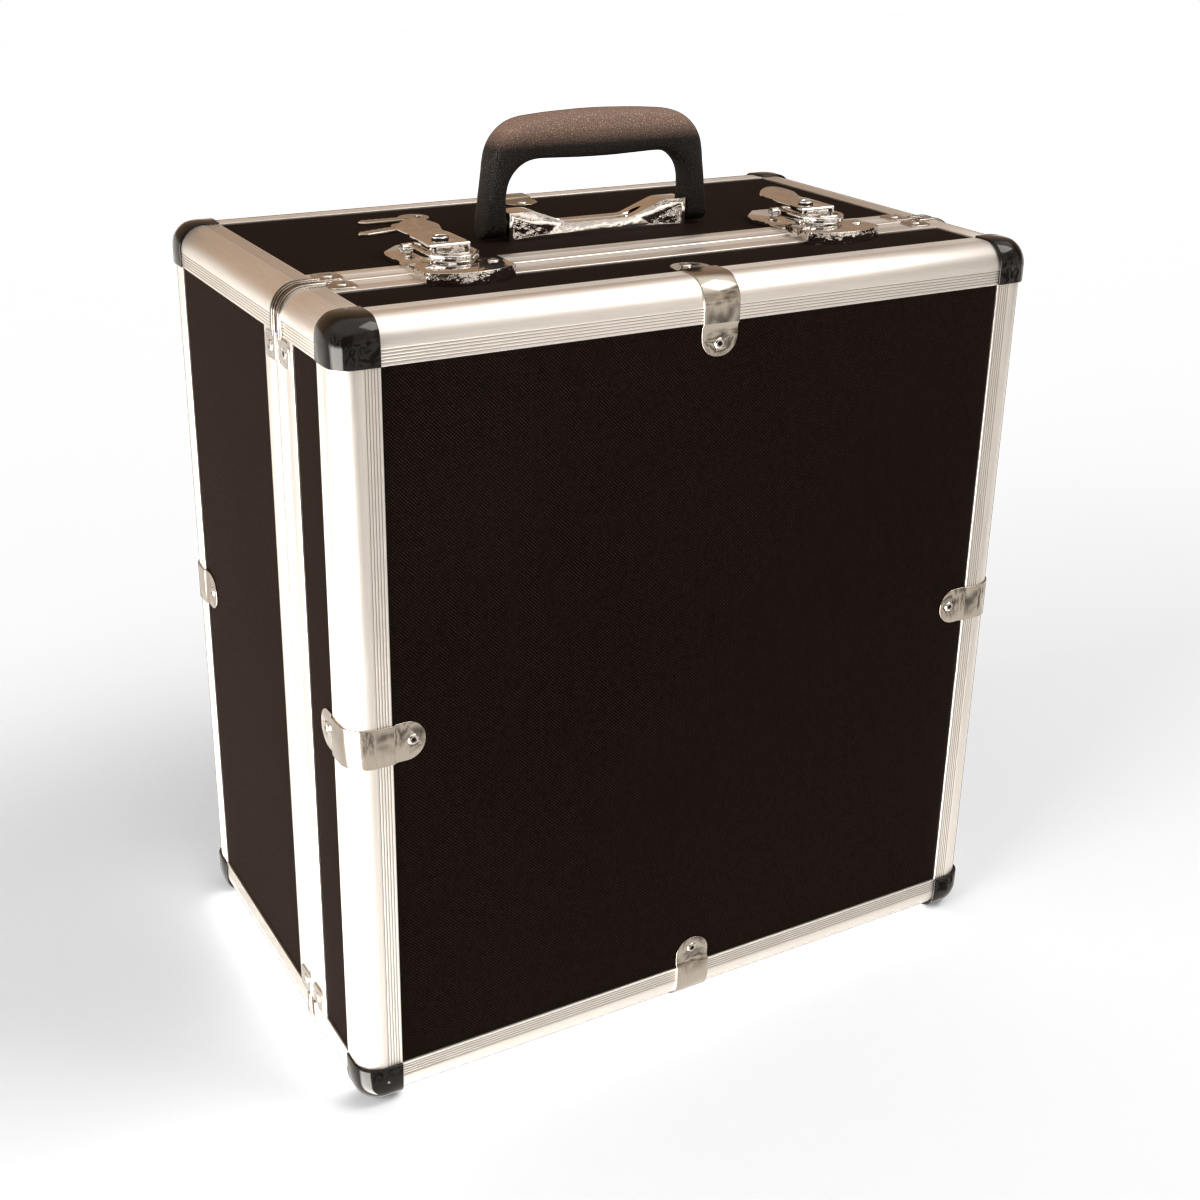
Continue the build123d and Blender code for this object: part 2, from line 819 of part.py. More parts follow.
with BuildPart() as handle_screws:
    with BuildSketch(under_handle(top - inner_face)):
        with GridLocations(screw_spacing, 0, 2, 1):
            Circle(screw_head)
    extrude(amount=backing_thickness, taper=45)
    with BuildSketch(under_handle(top - inner_face)):
        with GridLocations(screw_spacing, 0, 2, 1):
            Circle(screw_radius)
    extrude(amount=panel_thickness + screw_grip)
keep("handle_screws", handle_screws.part)


# ---- latches ----
def rim_envelope():
    """The space over the rims at the top edge, which the latch plates step over."""
    return slab(left, right, split - rim_width, split + rim_width, panel_top - skin, top)


def level(x, height):
    """A level plane at the left latch's centre line, at a height over the rim's face."""
    return Plane(origin=(x, split, top + height))


def across(x, reach):
    """A plane across a latch, facing +X: local x runs back from the split and y up."""
    return Plane(origin=(x + reach, split, top), x_dir=(0, 1, 0), z_dir=(1, 0, 0))


def base_outline():
    """Latch base outline, from the rim back to a scalloped tail."""
    with BuildSketch() as outline:
        with BuildLine():
            for side in (-1, 1):
                Line((0, base_front), (side * base_half_width, base_front))
                Line((side * base_half_width, base_front), (side * base_half_width, base_shoulder))
                ThreePointArc(
                    (side * base_half_width, base_shoulder),
                    (side * base_waist_half, (base_shoulder + base_notch) / 2 + base_swell),
                    (side * base_notch_half, base_notch),
                )
                ThreePointArc(
                    (side * base_notch_half, base_notch),
                    (side * base_scallop_half, (base_notch + base_wing) / 2 + base_swell),
                    (side * base_wing_half, base_wing),
                )
                Line((side * base_wing_half, base_wing), (side * base_tail_half, base_rear))
                Line((side * base_tail_half, base_rear), (0, base_rear))
        make_face()
    return outline.sketch


def cheek_outline():
    """One upright cheek of the base: pivot boss and a slotted tail that catches the lock's cam."""
    with BuildSketch() as cheek:
        with BuildLine():
            Polyline(
                (cheek_start, plate_thickness),
                (cheek_end, plate_thickness),
                (cheek_end, cheek_height),
                (cheek_start, cheek_height),
                close=True,
            )
        make_face()
        with BuildLine():
            Polyline(
                (cheek_start, cheek_height),
                (lever_pivot + cheek_boss, cheek_height),
                (lever_pivot + cheek_boss, lever_pivot_height),
                (cheek_start, lever_pivot_height),
                close=True,
            )
        make_face()
        with Locations((lever_pivot, lever_pivot_height)):
            Circle(cheek_boss)
            Circle(pin_radius + pin_clearance, mode=Mode.SUBTRACT)
        with BuildLine():
            low = cam_bottom - slot_play
            high = cam_bottom + cam_thickness + slot_play
            Polyline((slot_start, low), (cheek_end, low), (cheek_end, high), (slot_start, high), close=True)
        make_face(mode=Mode.SUBTRACT)
    return cheek.sketch


def latch_base(x):
    """Body-side base plate with two cheeks."""
    with BuildPart() as base:
        with BuildSketch(level(x, -skin)):
            add(base_outline())
        extrude(amount=skin + plate_thickness)
        add(rim_envelope(), mode=Mode.SUBTRACT)
        for reach in (-cheek_half - cheek_thickness, cheek_half):
            with BuildSketch(across(x, reach)):
                add(cheek_outline())
            extrude(amount=cheek_thickness)
    return base.part


def lever_outline():
    """Plan of the lever: square plate, waist and flared finger tab with a round end."""
    half = lever_width / 2
    with BuildSketch() as plan:
        with BuildLine():
            for side in (-1, 1):
                Line((0, lever_front), (side * half, lever_front))
                Line((side * half, lever_front), (side * half, lever_box))
                Line((side * half, lever_box), (side * lever_neck_half, lever_neck))
                Line((side * lever_neck_half, lever_neck), (side * lever_tab_half, lever_tab))
            ThreePointArc((-lever_tab_half, lever_tab), (0, lever_rear), (lever_tab_half, lever_tab))
        make_face()
        waist = plan.vertices().filter_by_position(Axis.Y, lever_neck - pick, lever_neck + pick)
        fillet(waist, lever_waist_radius)
        tips = plan.vertices().filter_by_position(Axis.Y, lever_tab - pick, lever_tab + pick)
        fillet(tips, lever_tip_radius)
    return plan.sketch


def lever_strip():
    """Side view of the lever's plate: flat over the box, then rising gently to the tab."""
    low = lever_height - lever_wall
    far = lever_rear + lever_overrun
    mid = (lever_neck + far) / 2
    tip = lever_height + lever_lift
    with BuildSketch() as view:
        with BuildLine():
            Line((lever_front, low), (lever_front, lever_height))
            Line((lever_front, lever_height), (lever_neck, lever_height))
            ThreePointArc((lever_neck, lever_height), (mid, lever_height + lever_lift / 4), (far, tip))
            Line((far, tip), (far, tip - lever_wall))
            ThreePointArc((far, tip - lever_wall), (mid, low + lever_lift / 4), (lever_neck, low))
            Line((lever_neck, low), (lever_front, low))
        make_face()
    return view.sketch


def lever_wall_outline():
    """Side wall of the lever's box, with the holes for its pivot and the bail's."""
    with BuildSketch() as wall:
        with BuildLine():
            Polyline(
                (lever_front, lever_height - lever_front_wall),
                (lever_front + lever_wall_cut, lever_wall_bottom),
                (lever_box - lever_wall_cut, lever_wall_bottom),
                (lever_box, lever_wall_bottom + lever_wall_cut),
                (lever_box, lever_height - lever_wall / 2),
                (lever_front, lever_height - lever_wall / 2),
                close=True,
            )
        make_face()
        with Locations((lever_pivot, lever_pivot_height), (bail_pivot, bail_pivot_height)):
            Circle(pin_radius + pin_clearance, mode=Mode.SUBTRACT)
    return wall.sketch


def lock_outline(length, width):
    """Oval of the lock's face."""
    with BuildSketch() as oval:
        with Locations((0, lock_place)):
            SlotOverall(length, width)
    return oval.sketch


def latch_lever(x):
    """Pressed lever: plate with finger tab, two side walls and a turned-down front."""
    half = lever_width / 2
    with BuildPart() as lever:
        with BuildSketch(across(x, 0)):
            add(lever_strip())
        extrude(amount=lever_tab_half + lever_overrun, both=True)
        with BuildSketch(level(x, 0)):
            add(lever_outline())
        extrude(amount=lever_height + lever_lift + lever_overrun, mode=Mode.INTERSECT)
        for reach in (-half, half - lever_wall):
            with BuildSketch(across(x, reach)):
                add(lever_wall_outline())
            extrude(amount=lever_wall)
        with BuildSketch(across(x, -cheek_half + lever_front_gap)):
            with Locations((lever_front + lever_wall / 2, lever_height - lever_front_wall / 2)):
                Rectangle(lever_wall, lever_front_wall)
        extrude(amount=2 * (cheek_half - lever_front_gap))
        with BuildSketch(level(x, lock_bottom)):
            add(lock_outline(lock_length, lock_width))
        extrude(amount=lever_height, mode=Mode.SUBTRACT)
    return lever.part


def lock_body(x):
    """Oval lock housing in the lever, bored for the plug."""
    with BuildPart() as housing:
        with BuildSketch(level(x, lock_bottom)):
            add(lock_outline(lock_length, lock_width))
        extrude(amount=lever_height - lock_bottom - plug_recess)
        with BuildSketch(level(x, lock_bottom)):
            with Locations((0, lock_place)):
                Circle(plug_radius + plug_clearance)
        extrude(amount=lever_height, mode=Mode.SUBTRACT)
    return housing.part


def lock_plug(x):
    """Turning plug with a keyway on top and the catching cam below."""
    with BuildPart() as plug:
        with BuildSketch(level(x, cam_bottom)):
            with Locations((0, lock_place)):
                Circle(plug_radius)
        extrude(amount=lever_height - cam_bottom - plug_recess)
        with BuildSketch(level(x, cam_bottom)):
            with Locations((0, lock_place + cam_length / 2)):
                Rectangle(cam_width, cam_length)
        extrude(amount=cam_thickness)
        with BuildSketch(level(x, lever_height - plug_recess)):
            with Locations((0, lock_place)):
                Rectangle(keyway_length, keyway_width)
        extrude(amount=-keyway_depth, mode=Mode.SUBTRACT)
    return plug.part


def latch_bail(x):
    """D-shaped draw bail: two arms beside the lever and a round front bar."""
    inner = lever_width / 2 + bail_gap
    outer = inner + bail_arm
    bar_back = -bail_bar_place + bail_bar / 2
    with BuildPart() as bail:
        with BuildSketch(level(x, bail_low)):
            with BuildLine():
                Line((-outer, bail_pivot), (-outer, -bail_straight))
                ThreePointArc((-outer, -bail_straight), (0, -bail_front), (outer, -bail_straight))
                Line((outer, -bail_straight), (outer, bail_pivot))
                Line((outer, bail_pivot), (-outer, bail_pivot))
            make_face()
            with BuildLine():
                Line((-inner, bail_pivot), (-inner, -bail_straight))
                Line((-inner, -bail_straight), (-bail_bar_half, bar_back))
                Line((-bail_bar_half, bar_back), (bail_bar_half, bar_back))
                Line((bail_bar_half, bar_back), (inner, -bail_straight))
                Line((inner, -bail_straight), (inner, bail_pivot))
                Line((inner, bail_pivot), (-inner, bail_pivot))
            make_face(mode=Mode.SUBTRACT)
        extrude(amount=bail_high - bail_low)
        for reach in (-outer, inner):
            with BuildSketch(across(x, reach)):
                with Locations((bail_pivot, bail_pivot_height)):
                    Circle(bail_boss)
            extrude(amount=bail_arm)
        with BuildSketch(across(x, -outer)):
            with Locations((bail_pivot, bail_pivot_height)):
                Circle(pin_radius + pin_clearance)
        extrude(amount=2 * outer, mode=Mode.SUBTRACT)
    return bail.part


def bail_pins(x):
    """Two headed pins that carry the bail on the lever's walls."""
    inner = lever_width / 2 - lever_wall
    outer = lever_width / 2 + bail_gap + bail_arm
    with BuildPart() as pins:
        for side in (-1, 1):
            place = Plane(origin=(x + side * inner, split, top), x_dir=(0, 1, 0), z_dir=(1, 0, 0))
            with BuildSketch(place):
                with Locations((bail_pivot, bail_pivot_height)):
                    Circle(pin_radius)
            extrude(amount=side * (outer - inner))
            with BuildSketch(place):
                with Locations((bail_pivot, bail_pivot_height)):
                    Circle(pin_radius + pin_head)
            extrude(amount=-side * lever_wall)
    return pins.part


def lever_pin(x):
    """Pivot pin of the lever, through both cheeks and both walls."""
    with BuildPart() as pin:
        with BuildSketch(across(x, -lever_width / 2)):
            with Locations((lever_pivot, lever_pivot_height)):
                Circle(pin_radius)
        extrude(amount=lever_width)
    return pin.part


def keeper_outline(inset):
    """Plan of the lid-side keeper: square back, bowed front."""
    half = keeper_width / 2 - inset
    with BuildSketch() as plan:
        with BuildLine():
            Line((-half, -keeper_corner), (-half, -keeper_back - inset))
            Line((-half, -keeper_back - inset), (half, -keeper_back - inset))
            Line((half, -keeper_back - inset), (half, -keeper_corner))
            ThreePointArc((half, -keeper_corner), (0, -keeper_front + inset), (-half, -keeper_corner))
        make_face()
    return plan.sketch


def latch_keeper(x):
    """Lid-side keeper: a shallow pressed tray turned over, with the post that the bail pulls on."""
    post_y = -bail_bar_place + bail_bar / 2 + post_clearance + post_thickness / 2
    with BuildPart() as keeper:
        with BuildSketch(level(x, -skin)):
            add(keeper_outline(0.0))
        extrude(amount=skin + keeper_height)
        with BuildSketch(level(x, -skin)):
            add(keeper_outline(keeper_wall))
        extrude(amount=skin + keeper_height - keeper_wall, mode=Mode.SUBTRACT)
        add(rim_envelope(), mode=Mode.SUBTRACT)
        with BuildSketch(level(x, keeper_height)):
            with Locations((0, post_y)):
                Rectangle(post_width, post_thickness)
        extrude(amount=post_height - keeper_height)
    return keeper.part


cam_bottom = lock_bottom - cam_gap - cam_thickness
keepers, keeper_rivets, base_rivets, lever_pins = [], [], [], []
for name, x in (("left", latch_left), ("right", latch_right)):
    own = []
    for side in (-1, 1):
        rear = (x + side * base_rivet_x, split + base_rivet_y, top + plate_thickness)
        fore = (x + side * front_rivet_x, split + front_rivet_y, top + plate_thickness)
        own.append(rivet(rear, (0, 0, 1), plate_thickness + skin))
        own.append(rivet(fore, (0, 0, 1), plate_thickness))
    base_rivets += own
    keep(f"{name}_latch_base", riveted(latch_base(x), own))
    pair = []
    for side in (-1, 1):
        spot = (x + side * keeper_rivet_x, split - keeper_rivet_y, top + keeper_height)
        pair.append(rivet(spot, (0, 0, 1), keeper_height))
    keeper_rivets += pair
    keepers.append(riveted(latch_keeper(x), pair))
    lever_pins.append(lever_pin(x))
    keep(f"{name}_latch_lever", latch_lever(x))
    keep(f"{name}_lock_body", lock_body(x))
    keep(f"{name}_lock_plug", lock_plug(x))
    keep(f"{name}_latch_bail", latch_bail(x))
    keep(f"{name}_bail_pins", bail_pins(x))
keep("latch_keepers", merged(keepers))
keep("body_rivets", merged([parts["body_rivets"], *base_rivets]))
keep("lid_rivets", merged([parts["lid_rivets"], *keeper_rivets]))
keep("latch_lever_pins", merged(lever_pins))


# ---- keys ----
def flat_key(x, y, angle):
    """Flat key lying on the top panel: round bow with a hole, and a toothed blade."""
    bow_centre = key_bow / 2 - key_length / 2
    tip = key_length / 2
    half = key_blade / 2
    start = bow_centre + key_bow / 2
    pitch = (tip - start) / (key_teeth + 1)
    with BuildPart() as key:
        with BuildSketch(Plane(Location((x, y, panel_top), (0, 0, angle)))):
            with Locations((bow_centre, 0)):
                Circle(key_bow / 2)
            with BuildLine():
                teeth = []
                for i in range(key_teeth):
                    foot = tip - half - i * pitch
                    teeth += [(foot, -half), (foot - pitch / 2, -half + key_tooth)]
                back_side = [(bow_centre, half), (tip - half, half), (tip, 0)]
                Polyline(*back_side, *teeth, (bow_centre, -half), close=True)
            make_face()
            with Locations((bow_centre - key_hole_offset, 0)):
                Circle(key_bow_hole, mode=Mode.SUBTRACT)
        extrude(amount=key_thickness)
    return key.part


keep("keys", merged([flat_key(*spot) for spot in key_places]))


# ---- lining ----
def lining_boards(y_from, y_to):
    """Four lining pads inside the top, bottom and sides of one half, butted with a fine gap."""
    outer, inner = wall_depth, lining_depth
    fitted = inner + lining_gap
    pads = [
        slab(left + outer, right - outer, y_from, y_to, top - inner, top - outer),
        slab(left + outer, right - outer, y_from, y_to, bottom + outer, bottom + inner),
        slab(left + outer, left + inner, y_from, y_to, bottom + fitted, top - fitted),
        slab(right - inner, right - outer, y_from, y_to, bottom + fitted, top - fitted),
    ]
    return merged(pads)


def face_lining(y_from, y_to):
    """Lining pad inside the front or the back board."""
    inset = wall_depth
    return slab(left + inset, right - inset, y_from, y_to, bottom + inset, top - inset)


keep("lid_front_lining", face_lining(front + wall_depth, front + lining_depth))
keep("lid_side_lining", lining_boards(front + lining_depth + lining_gap, split - lining_setback))
keep("body_back_lining", face_lining(back - lining_depth, back - wall_depth))
keep("body_side_lining", lining_boards(split + lining_setback, back - lining_depth - lining_gap))

os.makedirs("parts", exist_ok=True)
for name, solid in parts.items():
    export_step(solid, f"parts/{name}.step")
print(len(parts), "pieces written")
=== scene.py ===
# %% [markdown]
# # An accordion case, dressed in Blender
# The measured model of the case comes in as a fixed frame: every board, bar, strap and hinge is already in
# its place, in metres, with the ground at z = 0. Nothing in this script moves or resizes it. What the script
# adds is how things look: soft edges, rivet heads, grain, plating, lining, light and a camera.

# %% Load the fixed frame
import json
import math

import bmesh
import bpy
from mathutils import Matrix, Vector


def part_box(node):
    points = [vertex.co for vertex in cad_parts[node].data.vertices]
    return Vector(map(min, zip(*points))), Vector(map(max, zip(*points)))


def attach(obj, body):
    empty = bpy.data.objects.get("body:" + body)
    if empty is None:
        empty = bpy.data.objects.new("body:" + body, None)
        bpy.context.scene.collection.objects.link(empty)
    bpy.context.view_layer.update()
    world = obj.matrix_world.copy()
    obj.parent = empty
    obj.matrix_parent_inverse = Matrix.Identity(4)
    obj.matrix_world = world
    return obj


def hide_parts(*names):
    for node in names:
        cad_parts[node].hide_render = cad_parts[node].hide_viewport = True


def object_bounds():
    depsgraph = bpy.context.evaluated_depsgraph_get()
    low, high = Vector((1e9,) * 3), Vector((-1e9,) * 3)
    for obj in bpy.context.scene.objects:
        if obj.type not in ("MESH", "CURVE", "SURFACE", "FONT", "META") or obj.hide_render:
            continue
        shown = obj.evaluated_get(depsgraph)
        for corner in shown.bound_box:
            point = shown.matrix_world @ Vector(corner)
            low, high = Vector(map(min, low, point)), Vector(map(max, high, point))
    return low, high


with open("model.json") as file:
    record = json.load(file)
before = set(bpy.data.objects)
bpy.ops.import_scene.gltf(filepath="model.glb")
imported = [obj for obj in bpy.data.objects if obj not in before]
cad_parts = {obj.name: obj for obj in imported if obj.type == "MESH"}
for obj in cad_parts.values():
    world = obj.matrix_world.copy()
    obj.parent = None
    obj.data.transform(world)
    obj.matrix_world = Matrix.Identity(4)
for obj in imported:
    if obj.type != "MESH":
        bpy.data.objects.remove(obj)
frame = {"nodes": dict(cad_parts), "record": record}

cad_low, cad_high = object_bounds()
nodes = frame["nodes"]
body_of = {n: b for b, ns in frame["record"]["behaviour"]["bodies"].items() for n in ns}
print("CAD box", tuple(round(v, 4) for v in cad_low), tuple(round(v, 4) for v in cad_high))

# %% [markdown]
# ## Camera
# The photograph was taken from a little left of the lid and above it. The direction, distance and lens were
# worked out from the straight edges of the case, so the camera is placed from those numbers and not by eye.

# %% Camera
AZIMUTH, ELEVATION, ROLL = map(math.radians, (-30.145, 21.522, 1.145))
STAND = (-0.5119, -0.8951, 0.6970)
SENSOR, FOCAL_LENGTH = 36, 49.92  # millimetres
SHIFT = (-0.0026, -0.0667)  # shares of the picture's width


def new_object(name, data):
    """A new object in the scene."""
    made = bpy.data.objects.new(name, data)
    bpy.context.scene.collection.objects.link(made)
    return made


back = Vector((
    math.sin(AZIMUTH) * math.cos(ELEVATION),
    -math.cos(AZIMUTH) * math.cos(ELEVATION),
    math.sin(ELEVATION),
))
level_right = Vector((math.cos(AZIMUTH), math.sin(AZIMUTH), 0))
level_up = back.cross(level_right)
camera_right = math.cos(ROLL) * level_right + math.sin(ROLL) * level_up
camera_up = -math.sin(ROLL) * level_right + math.cos(ROLL) * level_up

lens = bpy.data.cameras.new("studio_camera")
lens.sensor_width, lens.lens = SENSOR, FOCAL_LENGTH
lens.shift_x, lens.shift_y = SHIFT
camera = new_object("studio_camera", lens)
turn = Matrix((camera_right, camera_up, back)).transposed().to_4x4()
camera.matrix_world = Matrix.Translation(STAND) @ turn
bpy.context.scene.camera = camera
print("camera looks along", tuple(round(v, 3) for v in -back))

# %% [markdown]
# ## Light
# A large window-like lamp stands on the left, the bright side of the photograph. A smaller one hangs above on
# the right, and a weak one fills the front, where the board stays almost black. Reflections don't show the
# window lamp: on that side the bars mirror a broad lit table, which is a part of the world in the next step.

# %% Lamps
LAMPS = {
    # name: (place, size, power, colour)
    "window_left": ((-2.3, -0.5, 1.3), 1.6, 37, (1.0, 0.92, 0.83)),
    "softbox_above": ((1.15, -0.85, 2.2), 1.1, 27, (1.0, 0.94, 0.88)),
    "fill_front": ((0.6, -2.4, 1.2), 1.8, 5, (1.0, 0.95, 0.90)),
}
AIM = Vector((0, 0, 0.25))  # the middle of the case
for name, (place, size, power, colour) in LAMPS.items():
    lamp = bpy.data.lights.new(name, "AREA")
    lamp.size, lamp.energy, lamp.color = size, power, colour
    holder = new_object(name, lamp)
    holder.location = place
    holder.rotation_euler = (AIM - Vector(place)).to_track_quat("-Z", "Y").to_euler()
    holder.visible_glossy = name != "window_left"
print(len(LAMPS), "lamps")

# %% [markdown]
# ## World
# Polished metal only looks like metal when it has something to reflect. Rays that come from a glossy surface
# therefore see a room: pale walls on the left, the dark side of the room behind the photographer, tan walls
# at the back, a white ceiling towards the front and a few dark things standing about. Pale paper lies below,
# and its part beside the window is lit so strongly that the bars on that side turn white. The camera itself
# sees plain white, and the rest of the light is even and pale, so the backdrop adds little to the case.

# %% Helpers for all node trees
def feed(tree, socket, value):
    """Links an output to an input, or sets the input to a plain value."""
    if isinstance(value, bpy.types.NodeSocket):
        tree.links.new(value, socket)
    else:
        socket.default_value = value


def rgba(colour):
    """A plain colour with its alpha; a socket stays as it is."""
    return (*colour, 1) if isinstance(colour, tuple) else colour


def math_node(tree, operation, *values):
    """A Math node whose inputs are sockets or plain numbers."""
    node = tree.nodes.new("ShaderNodeMath")
    node.operation = operation
    for socket, value in zip(node.inputs, values):
        feed(tree, socket, value)
    return node.outputs[0]


def times(tree, a, b):
    """The product of two values."""
    return math_node(tree, "MULTIPLY", a, b)


def one_minus(tree, value):
    """What is left of 1."""
    return math_node(tree, "SUBTRACT", 1.0, value)


def spread(tree, value, low, high, from_low=0.3, from_high=0.7):
    """A varying value spread between two levels."""
    node = tree.nodes.new("ShaderNodeMapRange")
    node.inputs["From Min"].default_value = from_low
    node.inputs["From Max"].default_value = from_high
    node.inputs["To Min"].default_value = low
    node.inputs["To Max"].default_value = high
    tree.links.new(value, node.inputs["Value"])
    return node.outputs["Result"]


def noise_value(tree, vector, scale, detail):
    """The value of a noise texture at a vector."""
    node = tree.nodes.new("ShaderNodeTexNoise")
    node.inputs["Detail"].default_value = detail
    tree.links.new(vector, node.inputs["Vector"])
    feed(tree, node.inputs["Scale"], scale)
    return node.outputs["Fac"]


def colour_ramp(tree, value, stops):
    """A colour ramp from (position, colour) stops."""
    node = tree.nodes.new("ShaderNodeValToRGB")
    points = node.color_ramp.elements
    points[0].position, points[0].color = stops[0][0], rgba(stops[0][1])
    points[1].position, points[1].color = stops[-1][0], rgba(stops[-1][1])
    for position, colour in stops[1:-1]:
        points.new(position).color = rgba(colour)
    tree.links.new(value, node.inputs["Fac"])
    return node.outputs["Color"]


def mixed(tree, factor, a, b):
    """A colour mix whose inputs are sockets or plain colours."""
    node = tree.nodes.new("ShaderNodeMix")
    node.data_type = "RGBA"
    for label, value in (("Factor", factor), ("A", a), ("B", b)):
        feed(tree, next(s for s in node.inputs if s.name == label and s.enabled), rgba(value))
    return next(s for s in node.outputs if s.enabled)


print("tree helpers ready")

# %% The room that polished metal sees
TAN, DARK, PALE = (0.38, 0.235, 0.135), (0.030, 0.022, 0.017), (0.85, 0.79, 0.72)
WHITE, PAPER = (1.2, 1.17, 1.12), (0.93, 0.88, 0.82)
WALLS = (
    # share of a turn, from the back over the left, the front and the right
    (0.00, TAN), (0.10, (0.37, 0.235, 0.14)), (0.20, PALE), (0.34, PALE), (0.37, DARK),
    (0.47, (0.06, 0.045, 0.035)), (0.53, (0.22, 0.165, 0.125)), (0.60, (0.46, 0.38, 0.31)),
    (0.66, (0.75, 0.69, 0.62)), (0.72, DARK), (0.84, (0.28, 0.205, 0.155)), (1.0, TAN),
)
ROOM_LEVEL, LIT_GAIN = 1.2, 19.0  # the room's brightness, and how much the lit paper adds to it

world = bpy.data.worlds.new("studio_world")
bpy.context.scene.world = world
world.use_nodes = True
sky = world.node_tree
sky.nodes.clear()
sky_out = sky.nodes.new("ShaderNodeOutputWorld")
rays = sky.nodes.new("ShaderNodeLightPath")
direction = sky.nodes.new("ShaderNodeTexCoord").outputs["Generated"]
axis = sky.nodes.new("ShaderNodeSeparateXYZ")
sky.links.new(direction, axis.inputs[0])
along_x, along_y, along_z = axis.outputs
heading = math_node(sky, "ARCTAN2", along_x, times(sky, along_y, -1.0))
share = math_node(sky, "ADD", math_node(sky, "DIVIDE", heading, 2 * math.pi), 0.5)

things = spread(sky, noise_value(sky, direction, 8.0, 1.0), 0.0, 0.92, 0.50, 0.54)
off_floor = spread(sky, along_z, 0.0, 1.0, -0.62, -0.45)
fewer_behind = spread(sky, along_y, 1.0, 0.15, -0.1, 0.4)
standing = times(sky, things, times(sky, off_floor, fewer_behind))
low_down = spread(sky, along_z, 0.0, 1.0, 0.06, -0.10)
papered = mixed(sky, low_down, colour_ramp(sky, share, WALLS), PAPER)
beside_window = times(
    sky, spread(sky, share, 0.0, 1.0, 0.19, 0.25), spread(sky, share, 1.0, 0.0, 0.362, 0.378),
)
lit_paper = times(sky, beside_window, low_down)
room_level = math_node(sky, "ADD", times(sky, lit_paper, LIT_GAIN), ROOM_LEVEL)
furnished = mixed(sky, times(sky, standing, one_minus(sky, lit_paper)), papered, DARK)
ceiling = times(
    sky, spread(sky, along_z, 0.0, 1.0, 0.52, 0.70), spread(sky, along_y, 1.0, 0.0, 0.20, 0.55),
)
room = mixed(sky, ceiling, furnished, WHITE)
print("room of", len(WALLS), "wall stops")

# %% White to the camera, the room to glossy rays, even light to the rest
EVEN_LIGHT, EVEN_LEVEL = (1.0, 0.95, 0.89), 0.24


def background(colour, strength):
    """A Background shader with a plain or linked colour."""
    node = sky.nodes.new("ShaderNodeBackground")
    feed(sky, node.inputs["Color"], rgba(colour))
    feed(sky, node.inputs["Strength"], strength)
    return node.outputs[0]


def choose(factor, first, second):
    """The second shader where the factor is 1."""
    node = sky.nodes.new("ShaderNodeMixShader")
    for socket, value in zip(node.inputs, (factor, first, second)):
        sky.links.new(value, socket)
    return node.outputs[0]


seen = math_node(sky, "MAXIMUM", rays.outputs["Is Camera Ray"], rays.outputs["Is Transmission Ray"])
even = background(EVEN_LIGHT, EVEN_LEVEL)
lit = choose(rays.outputs["Is Glossy Ray"], even, background(room, room_level))
sky.links.new(choose(seen, lit, background((1.0, 1.0, 1.0), 1.0)), sky_out.inputs["Surface"])
bpy.context.scene.view_settings.view_transform = "Standard"
print("world ready")

# %% [markdown]
# ## Floor
# The backdrop of the photograph is white without a horizon. A shadow catcher shows only the soft shadow that
# the case throws on it, and leaves the rest to the white world.

# %% Floor
FLOOR_HALF = 6.0
FLOOR_TONE = 0.9
floor_mesh = bpy.data.meshes.new("studio_floor")
corners = [(x * FLOOR_HALF, y * FLOOR_HALF, 0) for x, y in ((-1, -1), (1, -1), (1, 1), (-1, 1))]
floor_mesh.from_pydata(corners, [], [(0, 1, 2, 3)])
floor = new_object("studio_floor", floor_mesh)
floor.is_shadow_catcher = True
floor.visible_glossy = False
floor_finish = bpy.data.materials.new("studio_floor_white")
floor_finish.use_nodes = True
plain = floor_finish.node_tree.nodes["Principled BSDF"].inputs
plain["Base Color"].default_value = (FLOOR_TONE, FLOOR_TONE, FLOOR_TONE, 1)
plain["Roughness"].default_value = 0.9
floor_mesh.materials.append(floor_finish)
print("floor", FLOOR_HALF * 2, "m")

# %% [markdown]
# ## Surface effects shared by several materials
# Real surfaces are never even. A few small shader groups give what several finishes share: slight smudges,
# fine lines along an extruded or rolled metal, and the weave that is pressed into the laminate. Each one puts
# out only values that vary over the surface, and each material decides how strongly to use them.

# %% Helper for node groups
VALUE, VECTOR = "NodeSocketFloat", "NodeSocketVector"


def new_group(kind, name, inputs, outputs):
    """A node group with named sockets; returns the tree, its input node and its output node."""
    tree = bpy.data.node_groups.new(name, kind)
    for label, socket_type, value in inputs:
        socket = tree.interface.new_socket(label, in_out="INPUT", socket_type=socket_type)
        if value is not None:
            socket.default_value = value
    for label, socket_type in outputs:
        tree.interface.new_socket(label, in_out="OUTPUT", socket_type=socket_type)
    return tree, tree.nodes.new("NodeGroupInput"), tree.nodes.new("NodeGroupOutput")


print("group helper ready")

# %% Smudges: broad soft patches and fine speckle
smudge, gin, gout = new_group(
    "ShaderNodeTree", "soft_smudges",
    [("Vector", VECTOR, None), ("Patch Scale", VALUE, 14.0), ("Speckle Scale", VALUE, 420.0)],
    [("Patches", VALUE), ("Speckle", VALUE)],
)
for label, source, detail in (("Patches", "Patch Scale", 4.0), ("Speckle", "Speckle Scale", 2.0)):
    value = noise_value(smudge, gin.outputs["Vector"], gin.outputs[source], detail)
    smudge.links.new(value, gout.inputs[label])
print("group", smudge.name)

